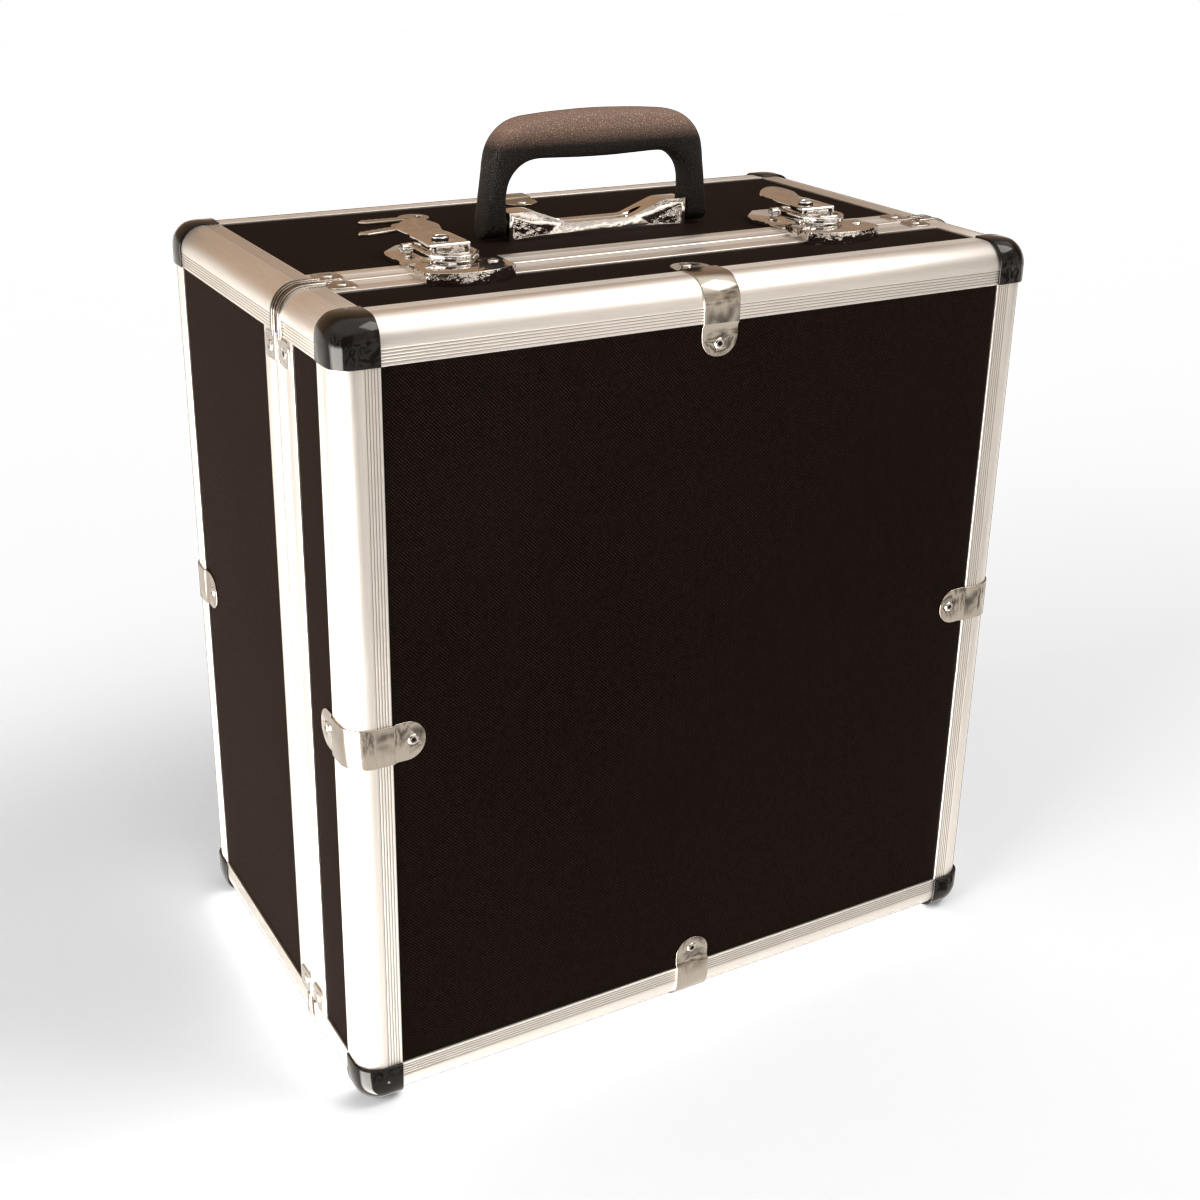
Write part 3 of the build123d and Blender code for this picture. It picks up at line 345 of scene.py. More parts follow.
# %% Drawn lines: noise stretched along one axis
drawn, gin, gout = new_group(
    "ShaderNodeTree", "drawn_lines",
    [("Vector", VECTOR, None), ("Stretch", VECTOR, (1.0, 1.0, 1.0)), ("Scale", VALUE, 900.0)],
    [("Lines", VALUE)],
)
squeeze = drawn.nodes.new("ShaderNodeVectorMath")
squeeze.operation = "MULTIPLY"
drawn.links.new(gin.outputs["Vector"], squeeze.inputs[0])
drawn.links.new(gin.outputs["Stretch"], squeeze.inputs[1])
drawn.links.new(noise_value(drawn, squeeze.outputs[0], gin.outputs["Scale"], 3.0), gout.inputs["Lines"])
print("group", drawn.name)

# %% Pressed weave: crossing threads on any face of a box
weave, gin, gout = new_group(
    "ShaderNodeTree", "pressed_weave",
    [("Vector", VECTOR, None), ("Facing", VECTOR, None), ("Thread", VALUE, 0.001)],
    [("Height", VALUE), ("Crossing Highlight", VALUE)],
)
spot = weave.nodes.new("ShaderNodeSeparateXYZ")
weave.links.new(gin.outputs["Vector"], spot.inputs[0])
facing = weave.nodes.new("ShaderNodeSeparateXYZ")
weave.links.new(gin.outputs["Facing"], facing.inputs[0])
turns = math_node(weave, "DIVIDE", math.pi, gin.outputs["Thread"])


def thread_wave(axis_name):
    """A wave along X or Z, or along Y on the faces that look along that axis."""
    looks = math_node(weave, "GREATER_THAN", math_node(weave, "ABSOLUTE", facing.outputs[axis_name]), 0.5)
    other = times(weave, spot.outputs["Y"], looks)
    own = times(weave, spot.outputs[axis_name], one_minus(weave, looks))
    return math_node(weave, "SINE", times(weave, math_node(weave, "ADD", own, other), turns))


threads = times(weave, thread_wave("X"), thread_wave("Z"))
bumps = math_node(weave, "ADD", times(weave, threads, 0.5), 0.5)
weave.links.new(bumps, gout.inputs["Height"])
# the tops of the threads, which the laminate paints paler as painted highlights
weave.links.new(spread(weave, bumps, 0.0, 1.0, 0.60, 0.97), gout.inputs["Crossing Highlight"])
print("group", weave.name)

# %% Helpers for materials
FINISHES = {}  # every finish under its name


def new_material(name, **constants):
    """A new finish with a Principled shader; the constants go straight on its sockets."""
    material = bpy.data.materials.new(name)
    material.use_nodes = True
    shader = material.node_tree.nodes["Principled BSDF"]
    for label, value in constants.items():
        shader.inputs[label.replace("_", " ")].default_value = value
    FINISHES[name] = material
    return material.node_tree, shader


def placed_group(tree, group, **values):
    """A group in a material, fed with the object's own coordinates."""
    node = tree.nodes.new("ShaderNodeGroup")
    node.node_tree = group
    place = tree.nodes.new("ShaderNodeTexCoord")
    tree.links.new(place.outputs["Object"], node.inputs["Vector"])
    for label, value in values.items():
        node.inputs[label.replace("_", " ")].default_value = value
    return node


def smudges(tree, patch_scale, speckle_scale=420.0):
    """The patches and the speckle of the smudge group."""
    node = placed_group(tree, smudge, Patch_Scale=patch_scale, Speckle_Scale=speckle_scale)
    return node.outputs["Patches"], node.outputs["Speckle"]


def stored(tree, name):
    """A value that the mesh stores at its vertices."""
    node = tree.nodes.new("ShaderNodeAttribute")
    node.attribute_name = name
    return node.outputs["Fac"]


def painted(tree, shader, colour, roughness):
    """Links a varying colour and a varying roughness to a shader."""
    tree.links.new(colour, shader.inputs["Base Color"])
    tree.links.new(roughness, shader.inputs["Roughness"])


def bumped(tree, shader, height, distance):
    """Lets a height show in the shading, with its real depth in metres."""
    node = tree.nodes.new("ShaderNodeBump")
    node.inputs["Distance"].default_value = distance
    tree.links.new(height, node.inputs["Height"])
    tree.links.new(node.outputs["Normal"], shader.inputs["Normal"])


print("material helpers ready")

# %% [markdown]
# ## Finishes
# The boards are plywood under a thin black laminate that was pressed against cloth, so its surface shows a
# fine weave, with painted highlights where its threads cross. The bars are drawn aluminium with a satin
# anodised skin: almost white, with painted shade at the bottoms of their grooves. The small parts are steel,
# nickel plated and satin on the straps, bright on the latches, the braces and the handle's bracket. The
# braces get a darker copy of that chrome as painted shade. The caps and the lock faces are black.

# %% Laminate of the boards
THREAD = 0.00105  # from one thread of the weave to the next
tree, shader = new_material("black_woven_laminate", Specular_IOR_Level=0.015)
cloth = placed_group(tree, weave, Thread=THREAD)
own_way = tree.nodes.new("ShaderNodeTexCoord")
tree.links.new(own_way.outputs["Normal"], cloth.inputs["Facing"])
patches, speckle = smudges(tree, 5.0, 520.0)
# painted highlights where the raised threads cross, broken up by speckle
crossing_highlights = times(tree, cloth.outputs["Crossing Highlight"], spread(tree, speckle, 0.25, 1.0))
ground = mixed(tree, spread(tree, patches, 0, 1), (0.0050, 0.0028, 0.0022), (0.0080, 0.0048, 0.0038))
woven = mixed(tree, crossing_highlights, ground, (0.080, 0.052, 0.038))
painted(tree, shader, woven, spread(tree, patches, 0.62, 0.74))
bumped(tree, shader, cloth.outputs["Height"], 0.00008)
print("laminate ready")


# %% Metal finishes
def metal(name, dark, light, rough, stretch=None, line_depth=0.0, dents=0.0, dent_scale=70.0):
    """A metal whose tone and roughness follow smudges, with drawn lines or soft dents if asked."""
    tree, shader = new_material(name, Metallic=1.0)
    tone, _ = smudges(tree, 18.0, 500.0)
    if stretch:
        lines = placed_group(tree, drawn, Stretch=stretch, Scale=3200.0).outputs["Lines"]
        tone = times(tree, math_node(tree, "ADD", lines, tone), 0.5)
        bumped(tree, shader, lines, line_depth)
    elif dents:
        bumped(tree, shader, smudges(tree, dent_scale)[0], dents)
    painted(tree, shader, mixed(tree, spread(tree, tone, 0.0, 1.0), dark, light), spread(tree, tone, *rough))


def anodised(name, stretch):
    """Satin aluminium, painted shade at groove bottoms, from the groove value stored on the bars' meshes."""
    tree, shader = new_material(name, Metallic=0.88)
    lines = placed_group(tree, drawn, Stretch=stretch, Scale=1800.0).outputs["Lines"]
    skin = mixed(tree, spread(tree, lines, 0.0, 1.0), (0.87, 0.83, 0.785), (0.95, 0.915, 0.88))
    # painted shade at the groove bottoms and in the channel between the braces
    painted_shading = mixed(tree, spread(tree, stored(tree, "groove"), 0.0, 1.0, 0.25, 1.0), skin, (0.16, 0.115, 0.085))
    painted(tree, shader, painted_shading, spread(tree, smudges(tree, 9.0)[0], 0.36, 0.42))
    bumped(tree, shader, lines, 0.000008)


anodised("anodised_along_x", (0.02, 1, 1))
anodised("anodised_along_y", (1, 0.02, 1))
anodised("anodised_along_z", (1, 1, 0.02))
# name, darkest tone, lightest tone, roughness from and to
metal("satin_nickel", (0.40, 0.355, 0.30), (0.52, 0.47, 0.41), (0.14, 0.19), (1, 1, 0.05), 0.000001)
metal("bright_chrome", (0.74, 0.71, 0.68), (0.88, 0.86, 0.83), (0.05, 0.11), dents=0.0004)
metal("pressed_chrome", (0.70, 0.67, 0.63), (0.86, 0.84, 0.81), (0.05, 0.10), dents=0.0022, dent_scale=110.0)
metal("keeper_chrome", (0.66, 0.62, 0.58), (0.84, 0.81, 0.77), (0.04, 0.08), dents=0.0034, dent_scale=72.0)
# the braces' chrome is a darker copy as painted shade, their rails' darker still as a painted dark reflection
metal("shaded_brace_chrome", (0.44, 0.40, 0.36), (0.60, 0.56, 0.52), (0.07, 0.12), dents=0.0003)
metal("painted_dark_rail_chrome", (0.085, 0.072, 0.060), (0.22, 0.19, 0.165), (0.05, 0.09), dents=0.0003)
metal("key_nickel", (0.50, 0.46, 0.40), (0.72, 0.67, 0.60), (0.16, 0.26), dents=0.0002)
metal("dark_brass", (0.020, 0.016, 0.011), (0.045, 0.036, 0.024), (0.32, 0.44))
metal("zinc_plate", (0.55, 0.55, 0.54), (0.68, 0.68, 0.67), (0.28, 0.40))
print(len(FINISHES), "finishes")

# %% Rivet steel, with painted shade in the hollow of each head
tree, shader = new_material("rivet_steel", Metallic=1.0)
plated = mixed(tree, spread(tree, smudges(tree, 40.0)[0], 0, 1), (0.62, 0.58, 0.53), (0.80, 0.77, 0.73))
sunk = stored(tree, "hollow")
# the hollow of each head is painted near black and rougher: painted shade in the recess
shaded = mixed(tree, sunk, plated, (0.025, 0.018, 0.013))
painted(tree, shader, shaded, spread(tree, sunk, 0.12, 0.5, 0.0, 1.0))
print("rivets ready")


# %% Black plastic and enamel
def black_coat(name, specular, scales, dark, light, rough):
    """A black coat with soft smudges; returns its tree, its shader and its speckle."""
    tree, shader = new_material(name, Specular_IOR_Level=specular)
    patches, speckle = smudges(tree, *scales)
    coat = mixed(tree, spread(tree, patches, 0, 1), dark, light)
    painted(tree, shader, coat, spread(tree, patches, *rough))
    return tree, shader, speckle


moulded = black_coat(
    "gloss_cap_plastic", 0.26, (30.0, 260.0), (0.006, 0.0045, 0.004), (0.015, 0.010, 0.008), (0.06, 0.10),
)
bumped(*moulded, 0.000002)
black_coat("black_lock", 0.3, (90.0,), (0.006, 0.005, 0.005), (0.016, 0.014, 0.013), (0.25, 0.35))
print("caps and lock faces ready")

# %% [markdown]
# The handle is moulded in black plastic with a leather-like grain: small rounded pebbles with sunken lines
# between them. A Voronoi texture read as the distance to the cell's edge gives just that, and the pebbles'
# tops are smoother than the lines and a little paler, as painted highlights. The upper part of the grip is
# painted warm brown as painted light from above: the piece stores how much in an attribute.

# %% Grained plastic of the handle
PEBBLES = 640.0  # pebbles per metre
GRAIN_DEPTH = 0.00028
tree, shader = new_material("grained_grip_plastic", Specular_IOR_Level=0.25)
place = tree.nodes.new("ShaderNodeTexCoord")
pebble = tree.nodes.new("ShaderNodeTexVoronoi")
pebble.feature = "DISTANCE_TO_EDGE"
pebble.inputs["Scale"].default_value = PEBBLES
tree.links.new(place.outputs["Object"], pebble.inputs["Vector"])
tops = spread(tree, pebble.outputs["Distance"], 0.0, 1.0, 0.02, 0.34)
glints = times(tree, tops, spread(tree, smudges(tree, 26.0, 1100.0)[1], 0.2, 1.0))
unlit_grip = mixed(tree, glints, (0.004, 0.0028, 0.0022), (0.034, 0.024, 0.018))
painted_light_brown = mixed(tree, glints, (0.22, 0.145, 0.115), (0.60, 0.42, 0.34))
# the upper grip is painted warm brown as painted light from above; glints are painted highlights on pebble
# tops
painted_shading = mixed(tree, stored(tree, "painted_light_above"), unlit_grip, painted_light_brown)
painted(tree, shader, painted_shading, spread(tree, glints, 0.60, 0.40, 0.0, 1.0))
bumped(tree, shader, tops, GRAIN_DEPTH)
print("grip ready")

# %% Plush of the lining
PILE_DEPTH = 0.0006
tree, shader = new_material("black_plush", Roughness=0.95, Sheen_Weight=0.5, Sheen_Roughness=0.4)
shader.inputs["Sheen Tint"].default_value = (0.30, 0.28, 0.30, 1)
patches, speckle = smudges(tree, 9.0, 1500.0)
pile = math_node(tree, "ADD", times(tree, patches, 0.6), times(tree, speckle, 0.4))
dusty = mixed(tree, spread(tree, pile, 0, 1), (0.010, 0.009, 0.010), (0.032, 0.029, 0.031))
tree.links.new(dusty, shader.inputs["Base Color"])
bumped(tree, shader, speckle, PILE_DEPTH)
print(len(FINISHES), "finishes in all")

# %% [markdown]
# ## Dressing the CAD pieces
# A piece whose CAD shape is right is copied, its loose triangles are merged, flat faces are joined again and
# sharp edges get a tiny round, because no real edge is perfectly sharp: it is the thin line of light along an
# edge that makes metal look like metal. The copy then stands for the CAD node.

# %% Helpers: merged copies and finished pieces
WELD, FLAT_DEG = 2e-6, 0.5  # vertices nearer than this are merged, faces that turn less are joined


def merged_copy(node):
    """A CAD node's mesh with its triangles welded and its flat faces joined, as a bmesh."""
    bm = bmesh.new()
    bm.from_mesh(nodes[node].data)
    bmesh.ops.remove_doubles(bm, verts=bm.verts, dist=WELD)
    turn = math.radians(FLAT_DEG)
    bmesh.ops.dissolve_limit(bm, angle_limit=turn, verts=bm.verts, edges=bm.edges, delimit={"NORMAL"})
    return bm


def clothe(mesh, finish):
    """Gives a mesh one finish."""
    mesh.materials.clear()
    mesh.materials.append(FINISHES[finish])


def link_piece(name, mesh, finish, node, *replaced):
    """An object at the origin that rides with a CAD node, and may stand for CAD nodes."""
    clothe(mesh, finish)
    piece = new_object(name, mesh)
    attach(piece, body_of[node])
    if replaced:
        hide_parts(*replaced)
    return piece


def smooth_mesh(bm, name, sharp_deg):
    """Turns a bmesh into a mesh that is smooth except at edges sharper than an angle."""
    for face in bm.faces:
        face.smooth = True
    mesh = bpy.data.meshes.new(name)
    bm.to_mesh(mesh)
    bm.free()
    mesh.set_sharp_from_angle(angle=math.radians(sharp_deg))
    return mesh


def dressed(node, finish, edge, sharp_deg=35.0, segments=2, from_deg=30.0, special=None):
    """A copy of a CAD node with rounded edges and smooth curved faces, standing for that node."""
    bm = merged_copy(node)
    if special:
        special(bm)
    turn = math.radians(from_deg)
    sharp = [e for e in bm.edges if len(e.link_faces) == 2 and e.is_convex and e.calc_face_angle(0) > turn]
    if sharp:
        bmesh.ops.bevel(
            bm, geom=sharp, offset=edge, offset_type="OFFSET", segments=segments, profile=0.5,
            affect="EDGES", clamp_overlap=True,
        )
    return link_piece(node + "_look", smooth_mesh(bm, node + "_look", sharp_deg), finish, node, node)


def two_toned(piece, finish, chosen):
    """Gives a second finish to the faces that a test picks."""
    piece.data.materials.append(FINISHES[finish])
    for face in piece.data.polygons:
        face.material_index = int(chosen(face))


def sliced(bm, point, normal, **more):
    """Cuts a whole bmesh along a plane."""
    geom = bm.verts[:] + bm.edges[:] + bm.faces[:]
    return bmesh.ops.bisect_plane(bm, geom=geom, dist=1e-7, plane_co=point, plane_no=normal, **more)


print("piece helpers ready")

# %% [markdown]
# ## Boards and bars
# The boards need no more than their laminate. The bars are long extrusions whose V grooves are part of the
# CAD shape. Shade gathers in such grooves, so each vertex at the bottom of a groove, where two faces meet in
# a hollow, stores a value of 1 in an attribute that the aluminium reads as painted shade.

# %% Grooved bars
# the dark channel between the braces is painted shade
SPLIT, SEAM = -0.058, 0.0022  # where the halves meet, and half the dark channel between the braces
SEAM_FADE = 0.0004  # over which the channel's shade ends
GROOVE_DEG = 60  # two faces that turn more than this meet in a groove


def mark_grooves(bm):
    """Stores 1 at vertices on hollow edges and 0 elsewhere."""
    store = bm.verts.layers.float.new("groove")
    turn = math.radians(GROOVE_DEG)
    for edge in bm.edges:
        if len(edge.link_faces) == 2 and not edge.is_convex and edge.calc_face_angle(0) > turn:
            for vertex in edge.verts:
                vertex[store] = 1.0


def mark_seam(bm):
    """Marks the grooves, and also the channel of painted shade between the two braces of a corner."""
    for away in (SEAM, SEAM + SEAM_FADE):
        for side in (-1, 1):
            sliced(bm, (0, SPLIT + side * away, 0), (0, 1, 0))
    mark_grooves(bm)
    store = bm.verts.layers.float["groove"]
    for vertex in bm.verts:
        if abs(vertex.co.y - SPLIT) < SEAM + SEAM_FADE / 4:
            vertex[store] = 1.0


def bar(node, axis_name, special=mark_grooves):
    """A grooved bar or rim in anodised aluminium."""
    dressed(node, "anodised_along_" + axis_name, 0.00025, from_deg=65, special=special)


for half, ring in (("lid", "front"), ("body", "back")):
    for side, axis_name in (("top", "x"), ("bottom", "x"), ("left", "z"), ("right", "z")):
        bar(f"{half}_{ring}_edge_{side}", axis_name)
        clothe(nodes[f"{half}_{side}_panel"].data, "black_woven_laminate")
    clothe(nodes[f"{half}_{ring}_panel"].data, "black_woven_laminate")
    bar(f"{half}_corner_bars", "y", mark_seam)
    bar(f"{half}_rims_top_bottom", "x")
    bar(f"{half}_rims_sides", "z")
print("boards and bars dressed")

# %% [markdown]
# ## Caps, braces, straps and hinges
# The moulded caps have soft rims, the pressed steel parts a small round where the press bent or cut them.
# The braces get a darker copy of the chrome as painted shade. Their rails stand out at the corners and
# mirror the dark side of the room, so they get a still darker chrome: a painted dark reflection.

# %% Caps, braces, straps, hinges
BAR_FACES = ((0.230, -0.230), (0.141, -0.141), (0.4842, None))  # outer faces of the bars along X, Y and Z
PROUD_KEPT = 0.5  # how much of the caps' stand-off is kept, except under the case
BEND_ACROSS, BEND_ABOVE, BEND_MIDDLE = 0.207, 0.461, 0.2432  # where the braces leave the flat faces
RAIL_LEAN = 0.35  # a brace's face that looks along Y by less than this belongs to a rail


def slimmed(bm):
    """Lets the caps' skin stand a little less proud of the bars, as moulded caps do."""
    for vertex in bm.verts:
        for i, (far, near) in enumerate(BAR_FACES):
            if vertex.co[i] > far:
                vertex.co[i] = far + (vertex.co[i] - far) * PROUD_KEPT
            elif near is not None and vertex.co[i] < near:
                vertex.co[i] = near + (vertex.co[i] - near) * PROUD_KEPT


def rail(face):
    """Whether a brace's face is the outside of a rail at the corner's bend."""
    bent = abs(face.center.x) > BEND_ACROSS and abs(face.center.z - BEND_MIDDLE) > BEND_ABOVE - BEND_MIDDLE
    return bent and abs(face.normal.y) < RAIL_LEAN


for half in ("lid", "body"):
    caps = f"{half}_corner_caps"
    dressed(caps, "gloss_cap_plastic", 0.0005, sharp_deg=60, from_deg=40, special=slimmed)
    two_toned(dressed(f"{half}_corner_braces", "shaded_brace_chrome", 0.00035), "painted_dark_rail_chrome", rail)
    dressed(f"{half}_edge_straps", "satin_nickel", 0.0002)
    dressed(f"{half}_hinge_leaves", "satin_nickel", 0.0001)
dressed("hinge_pins", "zinc_plate", 0.0002)
print("corners, straps and hinges dressed")

# %% [markdown]
# ## Rivets
# Straps, braces, hinges and latches are all held by the same semi-tubular rivet: a low dome, rolled over at
# its rim, with a small hollow in the middle. One head is described once in a Geometry Nodes tree, as a disc
# of rings that is raised by a formula of the distance from its middle, and put on every rivet point. The
# points and the directions they look in are found from the CAD rivets themselves.

# %% Where the rivets are
SEAT_SHARE = 0.95  # vertices this far out, measured by the head's radius, lie on its seat


def islands(bm):
    """The separate lumps of a bmesh, each as a list of its vertices."""
    met = set()
    for first in bm.verts:
        if first in met:
            continue
        met.add(first)
        island = [first]
        for vertex in island:  # the list grows while it is read
            for edge in vertex.link_edges:
                other = edge.other_vert(vertex)
                if other not in met:
                    met.add(other)
                    island.append(other)
        yield island


def rivet_spots(node):
    """Seat point and outward direction of every rivet of a CAD node."""
    bm = merged_copy(node)
    spots = []
    for island in islands(bm):
        flat = max((f for v in island for f in v.link_faces), key=lambda f: f.calc_area())
        normal = flat.normal.copy()
        middle = sum((v.co for v in flat.verts), Vector()) / len(flat.verts)
        ends = sorted(island, key=lambda v: v.co.dot(normal))
        reach = {v: (v.co - middle - (v.co - middle).dot(normal) * normal).length for v in island}
        seat = [v.co.dot(normal) for v in island if reach[v] > max(reach.values()) * SEAT_SHARE]
        to_seat = sum(seat) / len(seat) - middle.dot(normal)
        head_up = reach[ends[-1]] > reach[ends[0]]
        spots.append((middle + to_seat * normal, normal if head_up else -normal))
    bm.free()
    return spots


spots_of = {half: rivet_spots(f"{half}_rivets") for half in ("lid", "body")}
print({half: len(spots) for half, spots in spots_of.items()}, "rivets")

# %% Helpers for Geometry Nodes
GEOMETRY, COUNT = "NodeSocketGeometry", "NodeSocketInt"


def growing_tree(name, inputs):
    """A Geometry Nodes tree with named inputs; returns the tree, its inputs by name and its output."""
    every_input = [("Geometry", GEOMETRY, None), *inputs, ("Finish", "NodeSocketMaterial", None)]
    tree, gin, gout = new_group("GeometryNodeTree", name, every_input, [("Geometry", GEOMETRY)])
    return tree, gin.outputs, gout.inputs[0]


def chain(tree, node_type, links=(), **settings):
    """A node with its settings and its links, given as (input, source socket or value)."""
    node = tree.nodes.new(node_type)
    for label, value in settings.items():
        setattr(node, label, value)
    for label, value in links:
        feed(tree, node.inputs[label], value)
    return node


def on_points(tree, points, instance, *more):
    """Puts a piece on every point."""
    links = [("Points", points), ("Instance", instance), *more]
    return chain(tree, "GeometryNodeInstanceOnPoints", links).outputs[0]


def swept_circle(tree, curve, sides, radius):
    """A round wire along a curve."""
    wire = chain(tree, "GeometryNodeCurvePrimitiveCircle", [("Resolution", sides), ("Radius", radius)])
    links = [("Curve", curve), ("Profile Curve", wire.outputs["Curve"])]
    return chain(tree, "GeometryNodeCurveToMesh", links).outputs[0]


def close_tree(tree, instances, values, output):
    """Ends a tree with real geometry and its material."""
    real = chain(tree, "GeometryNodeRealizeInstances", [("Geometry", instances)])
    links = [("Geometry", real.outputs[0]), ("Material", values["Finish"])]
    tree.links.new(chain(tree, "GeometryNodeSetMaterial", links).outputs[0], output)
    print("tree", tree.name)


def plain_mesh(holder):
    """What an object's modifiers make of it, as a plain mesh; the object itself goes."""
    graph = bpy.context.evaluated_depsgraph_get()
    graph.update()
    mesh = bpy.data.meshes.new_from_object(holder.evaluated_get(graph), depsgraph=graph)
    bpy.data.objects.remove(holder)
    for polygon in mesh.polygons:
        polygon.use_smooth = True
    return mesh


def grown_mesh(name, spots, tree, values, outward=None):
    """Runs a tree with named values on some points, which may store the direction they look in."""
    points = bpy.data.meshes.new(name + "_points")
    points.from_pydata(spots, [], [])
    if outward:
        store = points.attributes.new("outward", "FLOAT_VECTOR", "POINT")
        for entry, vector in zip(store.data, outward):
            entry.vector = vector
    holder = new_object(name, points)
    grower = holder.modifiers.new("grower", "NODES")
    grower.node_group = tree
    for item in tree.interface.items_tree:
        if item.item_type == "SOCKET" and item.in_out == "INPUT" and item.name in values:
            grower[item.identifier] = values[item.name]
    mesh = plain_mesh(holder)
    mesh.name = name
    return mesh


print("growing helpers ready")

# %% The rivet head tree
heads, sizes_in, output = growing_tree("rivet_heads", [
    ("Head Radius", VALUE, 0.0033),
    ("Head Height", VALUE, 0.0010),
    ("Hollow Radius", VALUE, 0.0017),
    ("Hollow Depth", VALUE, 0.0009),
    ("Sides", COUNT, 28),
])
disc = chain(heads, "GeometryNodeMeshCylinder", [
    ("Vertices", sizes_in["Sides"]), ("Side Segments", 1), ("Fill Segments", 7),
    ("Radius", sizes_in["Head Radius"]), ("Depth", 0.0002),
], fill_type="TRIANGLE_FAN")
where = chain(heads, "GeometryNodeInputPosition").outputs[0]
level = chain(heads, "ShaderNodeVectorMath", [(0, where), (1, (1, 1, 0))], operation="MULTIPLY").outputs[0]
reach = chain(heads, "ShaderNodeVectorMath", [(0, level)], operation="LENGTH").outputs["Value"]
fall = math_node(heads, "POWER", math_node(heads, "DIVIDE", reach, sizes_in["Head Radius"]), 3.0)
dome = times(heads, one_minus(heads, fall), sizes_in["Head Height"])
inside = chain(heads, "ShaderNodeMapRange", [
    ("Value", math_node(heads, "DIVIDE", reach, sizes_in["Hollow Radius"])),
    ("From Min", 0.80), ("From Max", 1.15), ("To Min", 1.0), ("To Max", 0.0),
], interpolation_type="SMOOTHSTEP").outputs["Result"]
hollow = times(heads, inside, sizes_in["Hollow Depth"])
lift = chain(heads, "ShaderNodeCombineXYZ", [("Z", math_node(heads, "SUBTRACT", dome, hollow))])
raised = chain(heads, "GeometryNodeSetPosition", [
    ("Geometry", disc.outputs["Mesh"]), ("Selection", disc.outputs["Top"]), ("Offset", lift.outputs[0]),
])
marked = chain(heads, "GeometryNodeStoreNamedAttribute", [
    ("Geometry", raised.outputs[0]), ("Name", "hollow"), ("Value", inside),
], data_type="FLOAT", domain="POINT")
looks = chain(heads, "GeometryNodeInputNamedAttribute", [("Name", "outward")], data_type="FLOAT_VECTOR")
aimed = chain(heads, "FunctionNodeAlignRotationToVector", [("Vector", looks.outputs["Attribute"])], axis="Z")
placed = on_points(heads, sizes_in["Geometry"], marked.outputs[0], ("Rotation", aimed.outputs[0]))
close_tree(heads, placed, sizes_in, output)

# %% Rivets of both halves
for half, spots in spots_of.items():
    name, node = f"{half}_rivet_heads", f"{half}_rivets"
    places, outward = zip(*spots)
    mesh = grown_mesh(name, places, heads, {"Finish": FINISHES["rivet_steel"]}, outward)
    link_piece(name, mesh, "rivet_steel", node, node)
    print(half, len(mesh.polygons), "faces of rivets")

# %% [markdown]
# ## Handle
# The moulded handle has no sharp edge anywhere. A voxel remesh of the CAD shape followed by smoothing melts
# all its edges together evenly, which a bevel can't do where three rounded faces meet.

# %% Handle
VOXEL, MELTS, SWELL = 0.0012, 110, 0.0002
FOOT_TOP, GRIP_START = 0.500, 0.520  # the feet round their pivots keep their shape
FOOT_MELT = 0.12  # what the feet melt of what the grip does
# between these heights the grip is painted lighter and brown, as painted light from above
PAINTED_LIGHT_FROM, PAINTED_LIGHT_FULL = 0.5385, 0.5490  # heights between which the grip turns brown


def rise(value, low, high):
    """How far a value has come from a low level to a high one, from 0 to 1."""
    return min(1, max(0, (value - low) / (high - low)))


def softness(height):
    """How freely the handle melts at a height: little at its feet, fully at the grip."""
    return FOOT_MELT + (1 - FOOT_MELT) * rise(height, FOOT_TOP, GRIP_START)


start = new_object("voxels", smooth_mesh(merged_copy("handle_grip"), "handle_start", 180))
remesh = start.modifiers.new("voxels", "REMESH")
remesh.mode, remesh.voxel_size = "VOXEL", VOXEL
melting = new_object("melt", plain_mesh(start))
group = melting.vertex_groups.new(name="soft")
for index, vertex in enumerate(melting.data.vertices):
    group.add([index], softness(vertex.co.z), "REPLACE")
melt = melting.modifiers.new("melt", "SMOOTH")
melt.factor, melt.iterations, melt.vertex_group = 0.5, MELTS, "soft"
soft = plain_mesh(melting)
low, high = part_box("handle_grip")
swollen = [v.co + v.normal * SWELL * softness(v.co.z) for v in soft.vertices]
# the share of painted light from above, stored at each vertex
painted_light_share = soft.attributes.new("painted_light_above", "FLOAT", "POINT")
for vertex, entry, spot in zip(soft.vertices, painted_light_share.data, swollen):
    vertex.co = [min(max(spot[i], low[i]), high[i]) for i in range(3)]
    entry.value = rise(vertex.co.z, PAINTED_LIGHT_FROM, PAINTED_LIGHT_FULL)
soft.name = "handle_grip_look"
link_piece("handle_grip_look", soft, "grained_grip_plastic", "handle_grip", "handle_grip")
print("handle", len(soft.polygons), "faces")

# %% Bracket and fixings of the handle
PRESSED_FROM, PRESSED_TO = 0.0004, 0.0008  # how deep the pressed triangles lie in the bracket
bracket = dressed("handle_bracket", "bright_chrome", 0.0013, segments=4, from_deg=50)
low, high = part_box("handle_bracket")


def pressed(face):
    """Whether a face of the bracket lies at the bottom of a pressed triangle."""
    inward = min(face.center.y - low[1], high[1] - face.center.y)
    return PRESSED_FROM < inward < PRESSED_TO and abs(face.normal.y) > 0.99


two_toned(bracket, "pressed_chrome", pressed)
for node in ("handle_screws", "handle_backing_plate", "handle_pivot_pins"):
    dressed(node, "zinc_plate", 0.0002)
print("bracket dressed")

# %% [markdown]
# ## Latches
# The lever is pressed from sheet, so its front edge bends over in a clear round. The bail is a bent square
# bar with well rounded edges that winds round its pin in a few turns. A thin plated ring frames the black
# face of the lock, which stands proud of the lever. The turns and the rings are round wires, and two small
# Geometry Nodes trees put them where they belong. Two flat keys lie on the top.

